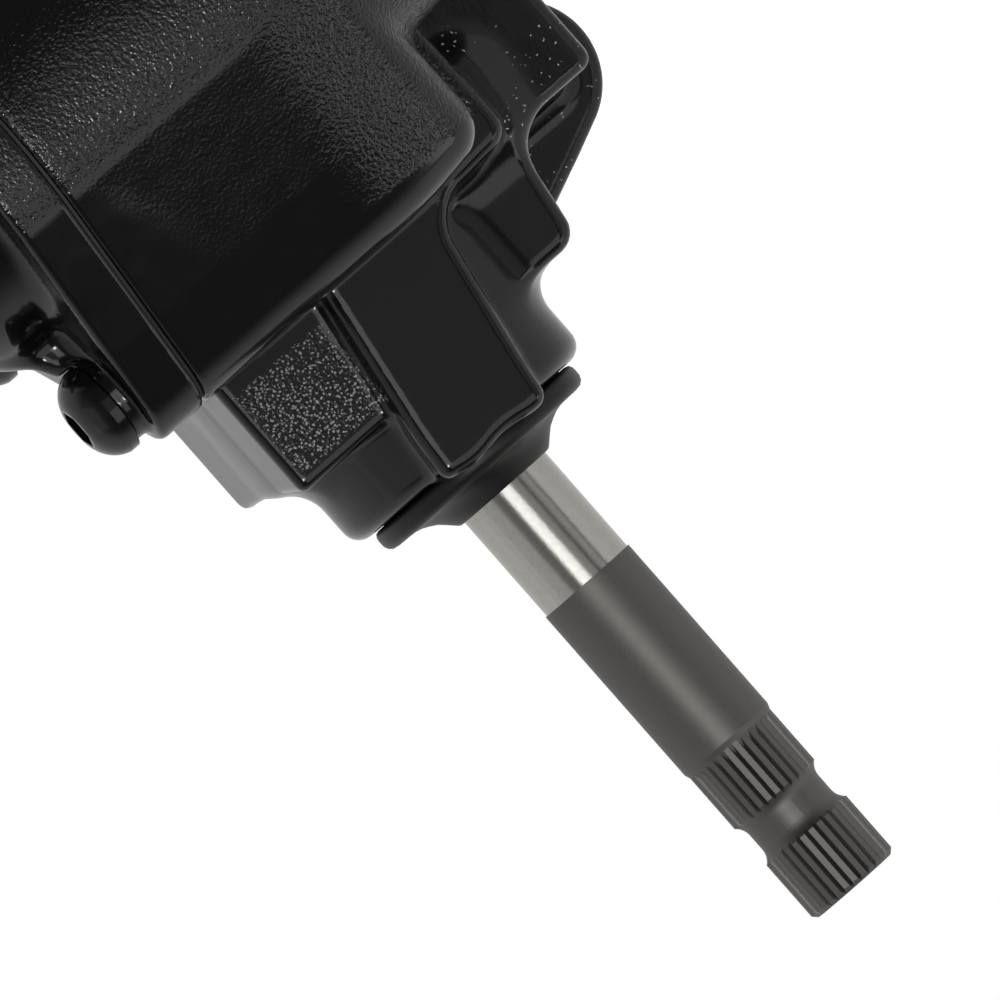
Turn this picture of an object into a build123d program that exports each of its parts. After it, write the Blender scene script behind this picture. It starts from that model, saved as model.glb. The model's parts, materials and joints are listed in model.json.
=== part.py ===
from build123d import *
import math
import os

# Power steering gearbox: worm, recirculating balls, rack piston and toothed sector.
# Lengths are millimetres. It is drawn with the worm along X and the sector shaft along Z,
# then moved so that the origin is the middle of the four mounting holes, on their face.

# How far a cutting solid runs past what it cuts
PAST = 1.0

# Gear train
WORM_LEAD = 10.0
RACK_TRAVEL = 16.0
SECTOR_MODULE = 4.5
FULL_CIRCLE_TEETH = 12
SECTOR_TEETH = 3
PRESSURE_ANGLE = 25.0
TOOTH_ADDENDUM = 4.0
TOOTH_DEDENDUM = 4.7
TOOTH_BACKLASH = 0.15
SECTOR_HALF_WIDTH = 17.0
SECTOR_AXIS_Y = 50.5
FLANK_POINTS = 6
TOOTH_ROOT_SINK = 1.0

# Ball circuit
BALL_RADIUS = 3.0
BALL_GROOVE_CLEARANCE = 0.05
BALL_CIRCLE_RADIUS = 11.5
BALL_TURNS = 2.5
TRACK_BALLS = 27
RETURN_BALLS = 7
BALL_CENTRE_X = 8.0
STRETCHES_PER_TURN = 2
GUIDE_WALL = 1.1
GUIDE_DEPTH = 20.5
GUIDE_LEG_END = 10.0
GUIDE_BEND = 5.0
GUIDE_CLEARANCE = 0.15
CLAMP_LENGTH = 25.0
CLAMP_WIDTH = 9.0
CLAMP_THICKNESS = 1.2
CLAMP_ROOM = 1.0
CLAMP_SCREW_PITCH = 18.0
CLAMP_SCREW_RADIUS = 2.0
CLAMP_SCREW_LENGTH = 8.0
CLAMP_HEAD_RADIUS = 3.0
CLAMP_HEAD_HEIGHT = 1.2

# Fits shared by many pieces
RUNNING_CLEARANCE = 0.05
ROLLING_CLEARANCE = 0.03
SEAT_CLEARANCE = 0.02
FACE_CLEARANCE = 0.1

# Rack piston and its bore
PISTON_BORE_RADIUS = 30.0
PISTON_LEFT_X = -50.0
PISTON_RIGHT_X = 30.0
PISTON_PLUG_RADIUS = 15.5
PISTON_PLUG_THICKNESS = 7.0
PLUG_SOCKET_FLATS = 12.0
PLUG_SOCKET_DEPTH = 4.0
NUT_BORE_RADIUS = 12.1
RACK_FLAT_HALF_LENGTH = 29.0
PISTON_RING_X = -43.0
PISTON_RING_WIDTH = 3.0
PISTON_RING_DEPTH = 1.8
RING_EXPANDER_DEPTH = 2.0
PISTON_END_ROOM = 3.5
TURNED_EDGE = 1.0
BORE_RIGHT_X = 54.5

# Worm
WORM_RADIUS = 10.9
WORM_LEFT_X = -24.0
WORM_THREAD_END_X = 42.0
WORM_STEM_RADIUS = 9.5
WORM_GROOVE_SPARE = 2.5
WORM_PASSAGE_CLEARANCE = 1.2

# Valve and input pieces along X, each starting where the last one ends
VALVE_FLOOR_X = 58.0
VALVE_BORE_RADIUS = 19.5
RACE_THICKNESS = 1.2
RACE_RADIUS = 18.4
RACE_BORE_RADIUS = 12.8
THRUST_NEEDLE_RADIUS = 1.0
THRUST_NEEDLE_LENGTH = 4.2
THRUST_NEEDLE_CIRCLE = 15.6
THRUST_NEEDLES = 20
WORM_FLANGE_THICKNESS = 3.2
WORM_FLANGE_RADIUS = 18.4
SLEEVE_LENGTH = 17.6
SPOOL_RADIUS = 12.0
SPOOL_SLOTS = 6
SPOOL_SLOT_DEPTH = 1.4
SPOOL_SLOT_WIDTH = 4.0
SLOT_END_WALL = 3.5
SLEEVE_RINGS = 3
SLEEVE_RING_WIDTH = 2.0
SLEEVE_RING_DEPTH = 1.5
SLEEVE_PIN_RADIUS = 1.3
SLEEVE_PIN_CIRCLE = 15.6
SLEEVE_PIN_REACH = 3.0
TWIST_STOP_ANGLE = 7.0
TANG_HALF_THICKNESS = 4.6
TANG_HALF_WIDTH = 7.2
TANG_LENGTH = 5.0
RETAINER_RADIUS = 21.5
RETAINER_LENGTH = 10.6
RETAINER_SEAL_SECTION = 1.6
RETAINER_SEAL_PLACE = 2.0
INPUT_NEEDLE_RADIUS = 0.8
INPUT_NEEDLE_LENGTH = 4.4
INPUT_NEEDLES = 30
INPUT_CUP_WALL = 1.0
INPUT_CUP_END = 0.4
INPUT_SEAL_RADIUS = 15.0
INPUT_SEAL_LENGTH = 4.2

# Input shaft outside the housing
INPUT_RADIUS = 9.6
PLAIN_RADIUS = 9.9
GROUND_END_X = 128.0
PLAIN_END_X = 165.8
SERRATION_RADIUS = 9.5
SERRATION_DEPTH = 0.75
SERRATION_TEETH = 30
SERRATION_LAND = 0.28
RUN_OUT_LENGTH = 3.0
FIRST_SERRATION_END_X = 178.9
WAIST_END_X = 187.6
WAIST_RADIUS = 8.2
WAIST_FLAT_HALF_LENGTH = 1.7
TIP_X = 200.7
TIP_CHAMFER = 0.9

# Torsion bar
BAR_RADIUS = 2.7
BAR_END_RADIUS = 3.6
BAR_LEFT_X = 30.0
BAR_END_LENGTH = 12.0
BAR_RIGHT_X = 158.0
BAR_BORE_CLEARANCE = 0.6
BAR_PIN_RADIUS = 1.5
BAR_PIN_SINK = 0.6
BAR_ROOT_LENGTH = 0.5

# Dust boot
BOOT_GAP = 0.4
BOOT_LIP_RADIUS = 23.4
BOOT_LIP_LENGTH = 4.3
BOOT_END_X = 105.7
BOOT_END_RADIUS = 10.8
BOOT_SHOULDER_RADIUS = 16.3
BOOT_WALL = 2.2
BOOT_LIP_EDGE = 0.5
BOOT_STEP = 0.3
BOOT_CONE_X = 2.5
BOOT_CONE_RADIUS = 12.5
BOOT_GRIP = 3.2

# Housing casting
BOX_BOTTOM_Z = -30.0
BOX_BOTTOM_SLOPE = 12.4
BOX_BOTTOM_TURN_Y = 56.0
BOX_BOTTOM_BEND = 60.0
FACING_DOWN = -0.8
SEAM_Z = 40.8
BOX_INSET = 0.8
BOX_FLANGE_HEIGHT = 4.0
BOX_EDGE_RADIUS = 6.0
BARREL_RADIUS = 36.5
END_ROOM_X = 5.0
CASTING_EDGE = 2.5
VALVE_BLOCK_END_X = 82.4
VALVE_BLOCK_FAR_END_X = 78.0
VALVE_BLOCK_NEAR_Y = 27.0
VALVE_BLOCK_FAR_Y = -32.0
VALVE_BLOCK_TOP_Z = 33.1
PAD_HEIGHT = 0.8
PAD_LEFT_X = 61.8
PAD_RIGHT_X = 80.6
PAD_LOW_Z = 10.5
PAD_HIGH_Z = 31.5
SHELF_NEAR_Y = 31.0
SHELF_END_X = 98.2
SHELF_LEFT_TOP_Z = 6.8
SHELF_RIGHT_TOP_Z = 13.2
SHELF_LEFT_LOW_Z = -18.7
SHELF_RIGHT_LOW_Z = -11.8
SHELF_TAIL_Z = -42.0
SHELF_TAIL_X = 61.0
SHELF_TURN_X = 71.0
SHELF_TAIL_TOP_Z = -26.7
SHELF_TAIL_FLARE = 1.0
SHELF_BOOT_CLEARANCE = 0.9
PORT_BOSS_NEAR_Y = 18.0
PORT_BOSS_ROOT_X = 46.0
PORT_BOSS_END_X = 79.7
PORT_BOSS_LOW_Z = -41.0
PORT_BOSS_SLOPE = 11.0
PORT_BOSS_FAR_Y = -30.0
PORT_BOSS_EDGE = 4.0
NECK_RADIUS = 27.2
NECK_END_X = 96.4
NECK_ROUND_LENGTH = 4.4
NECK_FACE_RADIUS = 24.2

# Hydraulic ports
PORT_RADIUS = 8.0
PORT_DEPTH = 12.5
PORT_X = 69.4
PORT_NEAR_Y = 5.5
PORT_PITCH = 21.0
PORT_DRILL_RADIUS = 3.5
SEAT_RADIUS = 5.5
SEAT_TOP_RADIUS = 3.5
SEAT_HEIGHT = 3.5
SEAT_BORE_RADIUS = 2.5

# Output tower and its bearing, along Z downwards
CAVITY_RADIUS = 32.0
CAVITY_FLOOR_Z = -20.0
TOWER_RADIUS = 28.0
TOWER_FOOT_RADIUS = 34.0
TOWER_END_Z = -78.0
OUTPUT_RADIUS = 16.0
ROLLER_RADIUS = 1.8
ROLLER_LENGTH = 24.0
ROLLERS = 26
CUP_WALL = 1.4
CUP_LENGTH = 28.0
CUP_TOP_Z = -21.0
OUTPUT_SEAL_TOP_Z = -51.0
OUTPUT_SEAL_LENGTH = 8.0
BACKUP_WASHER_THICKNESS = 1.6
RETAINING_RING_THICKNESS = 1.6
RETAINING_RING_DEPTH = 1.5
RETAINING_RING_WIDTH = 3.2
RETAINING_RING_MOUTH = 9.0
DUST_SEAL_LENGTH = 7.0
DUST_SEAL_GAP = 1.2
SEAL_SHELL = 1.2
SEAL_LIP = 1.5
SEAL_BACK = 2.0

# Sector shaft outside the tower
SPLINE_TOP_Z = -82.0
SPLINE_LENGTH = 24.0
SPLINE_RADIUS = 15.9
SPLINE_TEETH = 36
SPLINE_DEPTH = 0.9
SPLINE_TAPER = 3.58
THREAD_RADIUS = 11.0
THREAD_END_Z = -130.0
LOCK_WASHER_THICKNESS = 3.5
LOCK_WASHER_RADIUS = 17.0
LOCK_WASHER_MOUTH = 2.0
NUT_FLATS = 33.0
NUT_HEIGHT = 14.0
NUT_CHAMFER = 1.5

# Sector shaft top, side cover and lash adjuster
SHAFT_TOP_Z = 60.0
SLOT_DEPTH = 9.0
SLOT_LIP = 5.0
ADJUSTER_RADIUS = 6.0
ADJUSTER_HEAD_RADIUS = 9.0
ADJUSTER_TOP_Z = 90.0
ADJUSTER_SOCKET_FLATS = 5.0
ADJUSTER_SOCKET_DEPTH = 5.0
ADJUSTER_AXIAL_CLEARANCE = 0.2
ADJUSTER_SIDE_CLEARANCE = 0.4
GASKET_THICKNESS = 0.6
GASKET_INSET = 0.4
COVER_TOP_Z = 51.7
COVER_EDGE = 1.6
DOME_RADIUS = 31.4
DOME_TOP_Z = 66.0
DOME_EDGE = 5.0
HUB_RADIUS = 15.0
HUB_TOP_Z = 72.0
HUB_EDGE = 2.0
SPIGOT_LENGTH = 3.0
SPIGOT_WALL = 3.0
BUSH_WALL = 2.5
BUSH_BOTTOM_Z = 43.0
BUSH_TOP_Z = 60.0
LOCKNUT_FLATS = 19.0
LOCKNUT_HEIGHT = 8.0

# Cover screws
BOSS_OUTLINE_RADIUS = 10.6
FRONT_OUTLINE_RADIUS = 38.0
SCREW_CIRCLE = 47.8
SCREW_ANGLES = (6.5, 173.5, 240.0, 300.0)
SCREW_RADIUS = 5.0
SCREW_DEPTH = 10.0
SCREW_HEAD_RADIUS = 9.1
SCREW_HEAD_HEIGHT = 6.5
SCREW_HEAD_RIM = 1.8
SCREW_HEAD_TOP_RADIUS = 4.5
SCREW_HEAD_BULGE = (7.4, 4.8)
SCREW_SOCKET_FLATS = 7.0
SCREW_SOCKET_DEPTH = 3.5
SCREW_BOSS_RADIUS = 8.2
SCREW_BOSS_HEIGHT = 3.2
SCREW_HOLE_CLEARANCE = 0.4
RIB_THICKNESS = 5.0
RIB_GAP = 0.4
RIB_RISE = 2.8

# End plug
END_PLUG_THICKNESS = 9.0
PLUG_DIMPLE_RADIUS = 6.0
PLUG_DIMPLE_DEPTH = 4.0
END_SEAL_SECTION = 3.0
END_RING_THICKNESS = 2.0
END_RING_DEPTH = 1.6
END_RING_WIDTH = 4.0
END_RING_MOUTH = 16.0

# Mounting lugs, threaded from the frame side
MOUNT_FACE_Y = -50.0
LUG_SPACING_X = 103.0
LUG_LOW_Z = -56.0
LUG_HIGH_Z = 14.0
LUG_RADIUS = 15.0
LUG_FRONT_Y = -25.0
LUG_HOLE_RADIUS = 5.1
LUG_HOLE_DEPTH = 17.0
LUG_WEB_REACH_X = 74.5
LUG_WEB_REACH_Z = -40.0
LUG_WEB_CORNER = 6.0
LOBE_HALF_LENGTH = 58.6
LOBE_FRONT_Y = 20.0
LOBE_LOW_Z = -61.0
LOBE_EDGE = 2.0
LOBE_INNER_X = 20.0
WEB_OVERLAP = 4.0
LUG_PAD_RELIEF = 3.0

# Values that follow from the ones above
PITCH_RADIUS = SECTOR_MODULE * FULL_CIRCLE_TEETH / 2
RACK_PITCH_Y = SECTOR_AXIS_Y - PITCH_RADIUS
RACK_TOP_Y = RACK_PITCH_Y + TOOTH_ADDENDUM
RACK_PITCH = math.pi * SECTOR_MODULE
TIP_RADIUS = PITCH_RADIUS + TOOTH_ADDENDUM
ROOT_RADIUS = PITCH_RADIUS - TOOTH_DEDENDUM
BASE_RADIUS = PITCH_RADIUS * math.cos(math.radians(PRESSURE_ANGLE))
PISTON_RADIUS = PISTON_BORE_RADIUS - RUNNING_CLEARANCE
TRACK_LENGTH = BALL_TURNS * WORM_LEAD
TRACK_LEFT_X = BALL_CENTRE_X - TRACK_LENGTH / 2
TRACK_RIGHT_X = BALL_CENTRE_X + TRACK_LENGTH / 2
GROOVE_RADIUS = BALL_RADIUS + BALL_GROOVE_CLEARANCE
LOWER_RACE_END_X = VALVE_FLOOR_X + RACE_THICKNESS
NEEDLE_ROOM = 2 * (THRUST_NEEDLE_RADIUS + ROLLING_CLEARANCE)
WORM_FLANGE_X = LOWER_RACE_END_X + NEEDLE_ROOM
SLEEVE_X = WORM_FLANGE_X + WORM_FLANGE_THICKNESS
SLEEVE_END_X = SLEEVE_X + SLEEVE_LENGTH
UPPER_RACE_X = SLEEVE_END_X + NEEDLE_ROOM
RETAINER_X = UPPER_RACE_X + RACE_THICKNESS
RETAINER_END_X = RETAINER_X + RETAINER_LENGTH
SLEEVE_BORE_RADIUS = SPOOL_RADIUS + RUNNING_CLEARANCE
SLEEVE_RADIUS = VALVE_BORE_RADIUS - RUNNING_CLEARANCE
INPUT_CUP_INNER = INPUT_RADIUS + 2 * (INPUT_NEEDLE_RADIUS + ROLLING_CLEARANCE)
INPUT_CUP_OUTER = INPUT_CUP_INNER + INPUT_CUP_WALL
BAR_BORE_RADIUS = BAR_RADIUS + BAR_BORE_CLEARANCE
BOOT_LEFT_X = NECK_END_X + BOOT_GAP
BOOT_LIP_END_X = BOOT_LEFT_X + BOOT_LIP_LENGTH
BORE_LEFT_X = PISTON_LEFT_X - RACK_TRAVEL - PISTON_END_ROOM
END_PLUG_OUTER_X = BORE_LEFT_X - END_PLUG_THICKNESS
HOUSING_LEFT_X = END_PLUG_OUTER_X - END_RING_THICKNESS - END_ROOM_X
CUP_INNER = OUTPUT_RADIUS + 2 * (ROLLER_RADIUS + ROLLING_CLEARANCE)
CUP_OUTER = CUP_INNER + CUP_WALL
BACKUP_TOP_Z = OUTPUT_SEAL_TOP_Z - OUTPUT_SEAL_LENGTH
RING_TOP_Z = BACKUP_TOP_Z - BACKUP_WASHER_THICKNESS
DUST_SEAL_TOP_Z = RING_TOP_Z - RETAINING_RING_THICKNESS - DUST_SEAL_GAP
SPLINE_END_Z = SPLINE_TOP_Z - SPLINE_LENGTH
LOCK_WASHER_END_Z = SPLINE_END_Z - LOCK_WASHER_THICKNESS
SLOT_FLOOR_Z = SHAFT_TOP_Z - SLOT_DEPTH
SLOT_LIP_Z = SHAFT_TOP_Z - SLOT_LIP
BUSH_RADIUS = OUTPUT_RADIUS + RUNNING_CLEARANCE + BUSH_WALL
COVER_BOTTOM_Z = SEAM_Z + GASKET_THICKNESS
SCREW_BOSS_TOP_Z = COVER_TOP_Z + SCREW_BOSS_HEIGHT
LUG_MIDDLE_Z = (LUG_LOW_Z + LUG_HIGH_Z) / 2
BOSS_REACH_X = SCREW_CIRCLE + BOSS_OUTLINE_RADIUS
PLACE = Pos(0, -MOUNT_FACE_Y, -LUG_MIDDLE_Z)


def x_cylinder(radius, left, right, y=0.0, z=0.0):
    """A round bar along X between two stations."""
    return Pos((left + right) / 2, y, z) * Rot(0, 90, 0) * Cylinder(radius, right - left)


def z_cylinder(radius, low, high, x=0.0, y=0.0):
    """A round bar along Z between two heights."""
    return Pos(x, y, (low + high) / 2) * Cylinder(radius, high - low)


def y_cylinder(radius, near, far, x=0.0, z=0.0):
    """A round bar along Y between two depths."""
    return Pos(x, (near + far) / 2, z) * Rot(90, 0, 0) * Cylinder(radius, far - near)


def x_tube(outer, inner, left, right):
    """A plain ring around the worm axis."""
    return x_cylinder(outer, left, right) - x_cylinder(inner, left - PAST, right + PAST)


def sector_bar(radius, low, high):
    """A round bar on the sector axis."""
    return z_cylinder(radius, low, high, y=SECTOR_AXIS_Y)


def sector_tube(outer, inner, low, high):
    """A plain ring around the sector axis."""
    return sector_bar(outer, low, high) - sector_bar(inner, low - PAST, high + PAST)


def block(x0, x1, y0, y1, z0, z1):
    """A rectangular block between corners."""
    return Pos((x0 + x1) / 2, (y0 + y1) / 2, (z0 + z1) / 2) * Box(x1 - x0, y1 - y0, z1 - z0)


def x_turned(points):
    """A body turned around X from (x, radius) points."""
    face = make_face(Polyline(*[(x, 0, r) for x, r in points], close=True))
    return revolve(face, Axis.X, 360)


def screw_places():
    """The cover screws' centres."""
    for angle in SCREW_ANGLES:
        turn = math.radians(angle)
        yield SCREW_CIRCLE * math.cos(turn), SECTOR_AXIS_Y + SCREW_CIRCLE * math.sin(turn)


def cover_outline(inset=0.0):
    """The cover's outline: a front round and a round at each screw, wrapped in one loop."""
    rounds = [Pos(0, SECTOR_AXIS_Y) * Circle(FRONT_OUTLINE_RADIUS - inset)]
    rounds += [Pos(x, y) * Circle(BOSS_OUTLINE_RADIUS - inset) for x, y in screw_places()]
    return make_hull(Sketch(children=rounds).edges())


def outline_plate(low, high, inset=0.0):
    """The cover's outline as a plate."""
    return extrude(Pos(0, 0, low) * cover_outline(inset), amount=high - low)


def open_ring(outer, inner, thickness, mouth):
    """A flat snap ring with a gap, lying on the XY plane."""
    ring = Cylinder(outer, thickness) - Cylinder(inner, thickness + PAST)
    return ring - Pos(outer, 0, 0) * Box(2 * outer, mouth, thickness + PAST)


def hex_prism(flats, height):
    """A hexagonal prism standing on the XY plane."""
    return extrude(RegularPolygon(flats / 2, 6, major_radius=False), amount=height)


def gear_edge(outer, depth, teeth, land):
    """A serration's outline: V grooves around a circle, with a land on each tooth."""
    step = 2 * math.pi / teeth
    points = []
    for tooth in range(teeth):
        for part, radius in ((-land, outer), (land, outer), (0.5, outer - depth)):
            turn = (tooth + part) * step
            points.append((radius * math.cos(turn), radius * math.sin(turn)))
    return make_face(Polyline(*points, close=True))


def serration(left, right):
    """A serrated length of the input shaft."""
    edge = gear_edge(SERRATION_RADIUS, SERRATION_DEPTH, SERRATION_TEETH, SERRATION_LAND)
    return Pos(left, 0, 0) * Rot(0, 90, 0) * extrude(edge, amount=right - left)


def track_position(share):
    """A ball centre on the helical track, from 0 at its left end to 1 at its right."""
    turn = -math.pi / 2 + 2 * math.pi * BALL_TURNS * share
    x = TRACK_LEFT_X + TRACK_LENGTH * share
    return x, BALL_CIRCLE_RADIUS * math.cos(turn), BALL_CIRCLE_RADIUS * math.sin(turn)


def groove_stretch(left_share, right_share):
    """A stretch of ball groove between two shares of the track, as a solid to cut away."""
    length = TRACK_LENGTH * (right_share - left_share)
    path = Helix(WORM_LEAD, length, BALL_CIRCLE_RADIUS)
    profile = Plane(origin=path @ 0, z_dir=path % 0) * Circle(GROOVE_RADIUS)
    groove = sweep(profile, path=path, is_frenet=True)
    x, y, z = track_position(left_share)
    frame = Plane(origin=(x, 0, 0), x_dir=(0, y, z), z_dir=(1, 0, 0))
    return frame.location * groove


def cut_track(body, left_share, right_share):
    """Cut the ball groove from a body in short stretches, which keeps its faces simple."""
    count = math.ceil((right_share - left_share) * BALL_TURNS * STRETCHES_PER_TURN)
    step = (right_share - left_share) / count
    for index in range(count):
        start = left_share + step * index
        body = body - groove_stretch(start, start + step)
    return body


def return_path():
    """The ball return's centre line, from one end of the track to the other."""
    x0, _, z0 = track_position(0)
    x1, _, z1 = track_position(1)
    corners = [(x0, -GUIDE_LEG_END, z0), (x0, -GUIDE_DEPTH, z0)]
    corners += [(x1, -GUIDE_DEPTH, z1), (x1, -GUIDE_LEG_END, z1)]
    return FilletPolyline(*corners, radius=GUIDE_BEND)


def swept_round(path, radius):
    """A round bar swept along a path."""
    return sweep(Plane(origin=path @ 0, z_dir=path % 0) * Circle(radius), path=path)


def return_plane():
    """The plane that the ball return lies in, at its middle, with its X along the return."""
    x0, _, z0 = track_position(0)
    x1, _, z1 = track_position(1)
    return Plane(origin=(BALL_CENTRE_X, 0, 0), x_dir=(x1 - x0, 0, z1 - z0), z_dir=(0, -1, 0))


def involute(angle):
    """The involute function of a pressure angle in radians."""
    return math.tan(angle) - angle


def sector_tooth():
    """One sector tooth's face, pointing along -Y from the sector axis."""
    half = (RACK_PITCH / 2 - 2 * TOOTH_BACKLASH) / (2 * PITCH_RADIUS)
    at_pitch = involute(math.radians(PRESSURE_ANGLE))
    flank = []
    for point in range(FLANK_POINTS):
        radius = BASE_RADIUS + (TIP_RADIUS - BASE_RADIUS) * point / (FLANK_POINTS - 1)
        turn = half + at_pitch - involute(math.acos(BASE_RADIUS / radius))
        flank.append((radius * math.sin(turn), -radius * math.cos(turn)))
    root_turn = half + at_pitch
    sunk = ROOT_RADIUS - TOOTH_ROOT_SINK
    root = (sunk * math.sin(root_turn), -sunk * math.cos(root_turn))
    right = [root] + flank
    left = [(-x, y) for x, y in reversed(right)]
    lines = [Line(right[0], right[1]), Spline(*right[1:])]
    lines += [Line(right[-1], left[0]), Spline(*left[:-1]), Line(left[-2], left[-1])]
    lines.append(Line(left[-1], right[0]))
    return make_face(Curve(children=lines))


def box_body():
    """The box around the sector, under the side cover, with its bottom rising towards the front."""
    body = outline_plate(BOX_BOTTOM_Z, SEAM_Z - BOX_FLANGE_HEIGHT, BOX_INSET)
    front = SECTOR_AXIS_Y + FRONT_OUTLINE_RADIUS + PAST
    rise = math.tan(math.radians(BOX_BOTTOM_SLOPE)) * (front - BOX_BOTTOM_TURN_Y)
    corners = [(BOX_BOTTOM_TURN_Y, BOX_BOTTOM_Z), (front, BOX_BOTTOM_Z), (front, BOX_BOTTOM_Z + rise)]
    wedge = extrude(Plane.YZ * make_face(Polyline(*corners, close=True)), amount=BOSS_REACH_X, both=True)
    body = body - wedge
    ridge = Vector(0, BOX_BOTTOM_TURN_Y, BOX_BOTTOM_Z)
    body = fillet([edge for edge in body.edges() if (edge.center() - ridge).length < PAST], BOX_BOTTOM_BEND)
    low = [face for face in body.faces() if face.normal_at().Z < FACING_DOWN]
    edges = [edge for face in low for edge in face.edges()]
    rim = [edge for edge in edges if sum(edge.center() == other.center() for other in edges) == 1]
    body = fillet(rim, BOX_EDGE_RADIUS)
    return body + outline_plate(SEAM_Z - BOX_FLANGE_HEIGHT, SEAM_Z)


def valve_block():
    """The upper block around the valve, with its raised pad."""
    body = block(0, VALVE_BLOCK_END_X, 0, VALVE_BLOCK_NEAR_Y, SHELF_LEFT_LOW_Z, VALVE_BLOCK_TOP_Z)
    far = block(0, VALVE_BLOCK_FAR_END_X, VALVE_BLOCK_FAR_Y, 0, SHELF_LEFT_LOW_Z, VALVE_BLOCK_TOP_Z)
    near_edge = body.edges().filter_by(Axis.Z).sort_by(Axis.X)[-1:]
    body = fillet(near_edge + body.edges().filter_by(Axis.X).group_by(Axis.Z)[-1][-1:], CASTING_EDGE)
    pad = block(PAD_LEFT_X, PAD_RIGHT_X, 0, VALVE_BLOCK_NEAR_Y + PAD_HEIGHT, PAD_LOW_Z, PAD_HIGH_Z)
    pad = fillet(pad.edges().filter_by(Axis.Y), CASTING_EDGE)
    return body + far + pad


def shelf_block():
    """The inclined block beside the neck, with the tail that runs down beside the port boss."""
    tail = (SHELF_TAIL_X + SHELF_TAIL_FLARE, SHELF_TAIL_TOP_Z)
    lines = [
        Line((0, SHELF_LEFT_TOP_Z), (SHELF_END_X, SHELF_RIGHT_TOP_Z)),
        Line((SHELF_END_X, SHELF_RIGHT_TOP_Z), (SHELF_END_X, SHELF_RIGHT_LOW_Z)),
    ]
    slope = (SHELF_RIGHT_LOW_Z - SHELF_LEFT_LOW_Z) / (SHELF_END_X - VALVE_FLOOR_X)
    turn = (SHELF_TURN_X, SHELF_RIGHT_LOW_Z - slope * (SHELF_END_X - SHELF_TURN_X))
    lines.append(Line((SHELF_END_X, SHELF_RIGHT_LOW_Z), turn))
    lines.append(TangentArc(turn, tail, tangent=(-1, -slope)))
    lines.append(Line(tail, (SHELF_TAIL_X, SHELF_TAIL_Z)))
    lines.append(Line((SHELF_TAIL_X, SHELF_TAIL_Z), (0, SHELF_TAIL_Z)))
    lines.append(Line((0, SHELF_TAIL_Z), (0, SHELF_LEFT_TOP_Z)))
    side = make_face(Curve(children=lines))
    solid = extrude(Plane.XZ * side, amount=-SHELF_NEAR_Y)
    near = solid.faces().sort_by(Axis.Y)[-1]
    edges = near.edges().filter_by(lambda edge: edge.center().X > VALVE_FLOOR_X)
    return fillet(edges, CASTING_EDGE)


def port_boss():
    """The boss that carries the two hose ports, with its sloping lower face."""
    drop = math.tan(math.radians(PORT_BOSS_SLOPE))
    right_z = PORT_BOSS_LOW_Z + drop * (PORT_BOSS_END_X - VALVE_FLOOR_X)
    left_z = PORT_BOSS_LOW_Z - drop * VALVE_FLOOR_X
    corners = [(0, left_z), (PORT_BOSS_END_X, right_z), (PORT_BOSS_END_X, 0), (0, 0)]
    side = make_face(Polyline(*corners, close=True))
    depth = PORT_BOSS_NEAR_Y - PORT_BOSS_FAR_Y
    solid = Pos(0, PORT_BOSS_NEAR_Y, 0) * extrude(Plane.XZ * side, amount=depth)
    low_edges = solid.edges().filter_by(Axis.Y).sort_by(Axis.Z)
    corner = [edge for edge in low_edges if edge.center().X > VALVE_FLOOR_X and edge.center().Z < right_z / 2]
    solid = fillet(corner, PORT_BOSS_EDGE)
    keep = block(PORT_BOSS_ROOT_X, 2 * PORT_BOSS_END_X, PORT_BOSS_FAR_Y, PORT_BOSS_NEAR_Y, left_z, 0)
    return solid & keep


def neck():
    """The round neck that the input shaft comes out of."""
    points = [
        (VALVE_FLOOR_X, 0),
        (VALVE_FLOOR_X, NECK_RADIUS),
        (NECK_END_X - NECK_ROUND_LENGTH, NECK_RADIUS),
        (NECK_END_X, NECK_FACE_RADIUS),
        (NECK_END_X, 0),
    ]
    return x_turned(points)


def tower():
    """The tower that the output shaft comes out of, below the box."""
    height = BOX_BOTTOM_Z - TOWER_END_Z
    cone = Pos(0, SECTOR_AXIS_Y, BOX_BOTTOM_Z - height / 2) * Cone(TOWER_FOOT_RADIUS, TOWER_RADIUS, height)
    cone = fillet(cone.edges().sort_by(Axis.Z)[0], CASTING_EDGE)
    foot = sector_bar(TOWER_FOOT_RADIUS, BOX_BOTTOM_Z, CAVITY_FLOOR_Z)
    web = block(-LOBE_INNER_X, LOBE_INNER_X, LOBE_FRONT_Y - WEB_OVERLAP, SECTOR_AXIS_Y, LOBE_LOW_Z, 0)
    return cone + foot + web


def lug_web(side):
    """The web behind one pair of lugs, on the frame side."""
    reach = LUG_WEB_REACH_X if side > 0 else LOBE_HALF_LENGTH
    x = side * LUG_SPACING_X / 2
    low = [Pos(x, LUG_LOW_Z) * Circle(LUG_RADIUS), Pos(x, LUG_HIGH_Z) * Circle(LUG_RADIUS)]
    corner = [Pos(side * (reach - LUG_WEB_CORNER), LUG_WEB_REACH_Z) * Circle(LUG_WEB_CORNER)]
    inner = [Pos(side * LOBE_INNER_X, LUG_WEB_REACH_Z) * Circle(LUG_WEB_CORNER)]
    top = [Pos(side * LOBE_INNER_X, LUG_HIGH_Z) * Circle(LUG_WEB_CORNER)]
    shape = make_hull(Sketch(children=low + corner + inner + top).edges())
    plate = Pos(0, MOUNT_FACE_Y, 0) * extrude(Plane.XZ * shape, amount=-(LUG_FRONT_Y - MOUNT_FACE_Y))
    return fillet(plate.faces().sort_by(Axis.Y)[-1].edges(), CASTING_EDGE)


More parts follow.
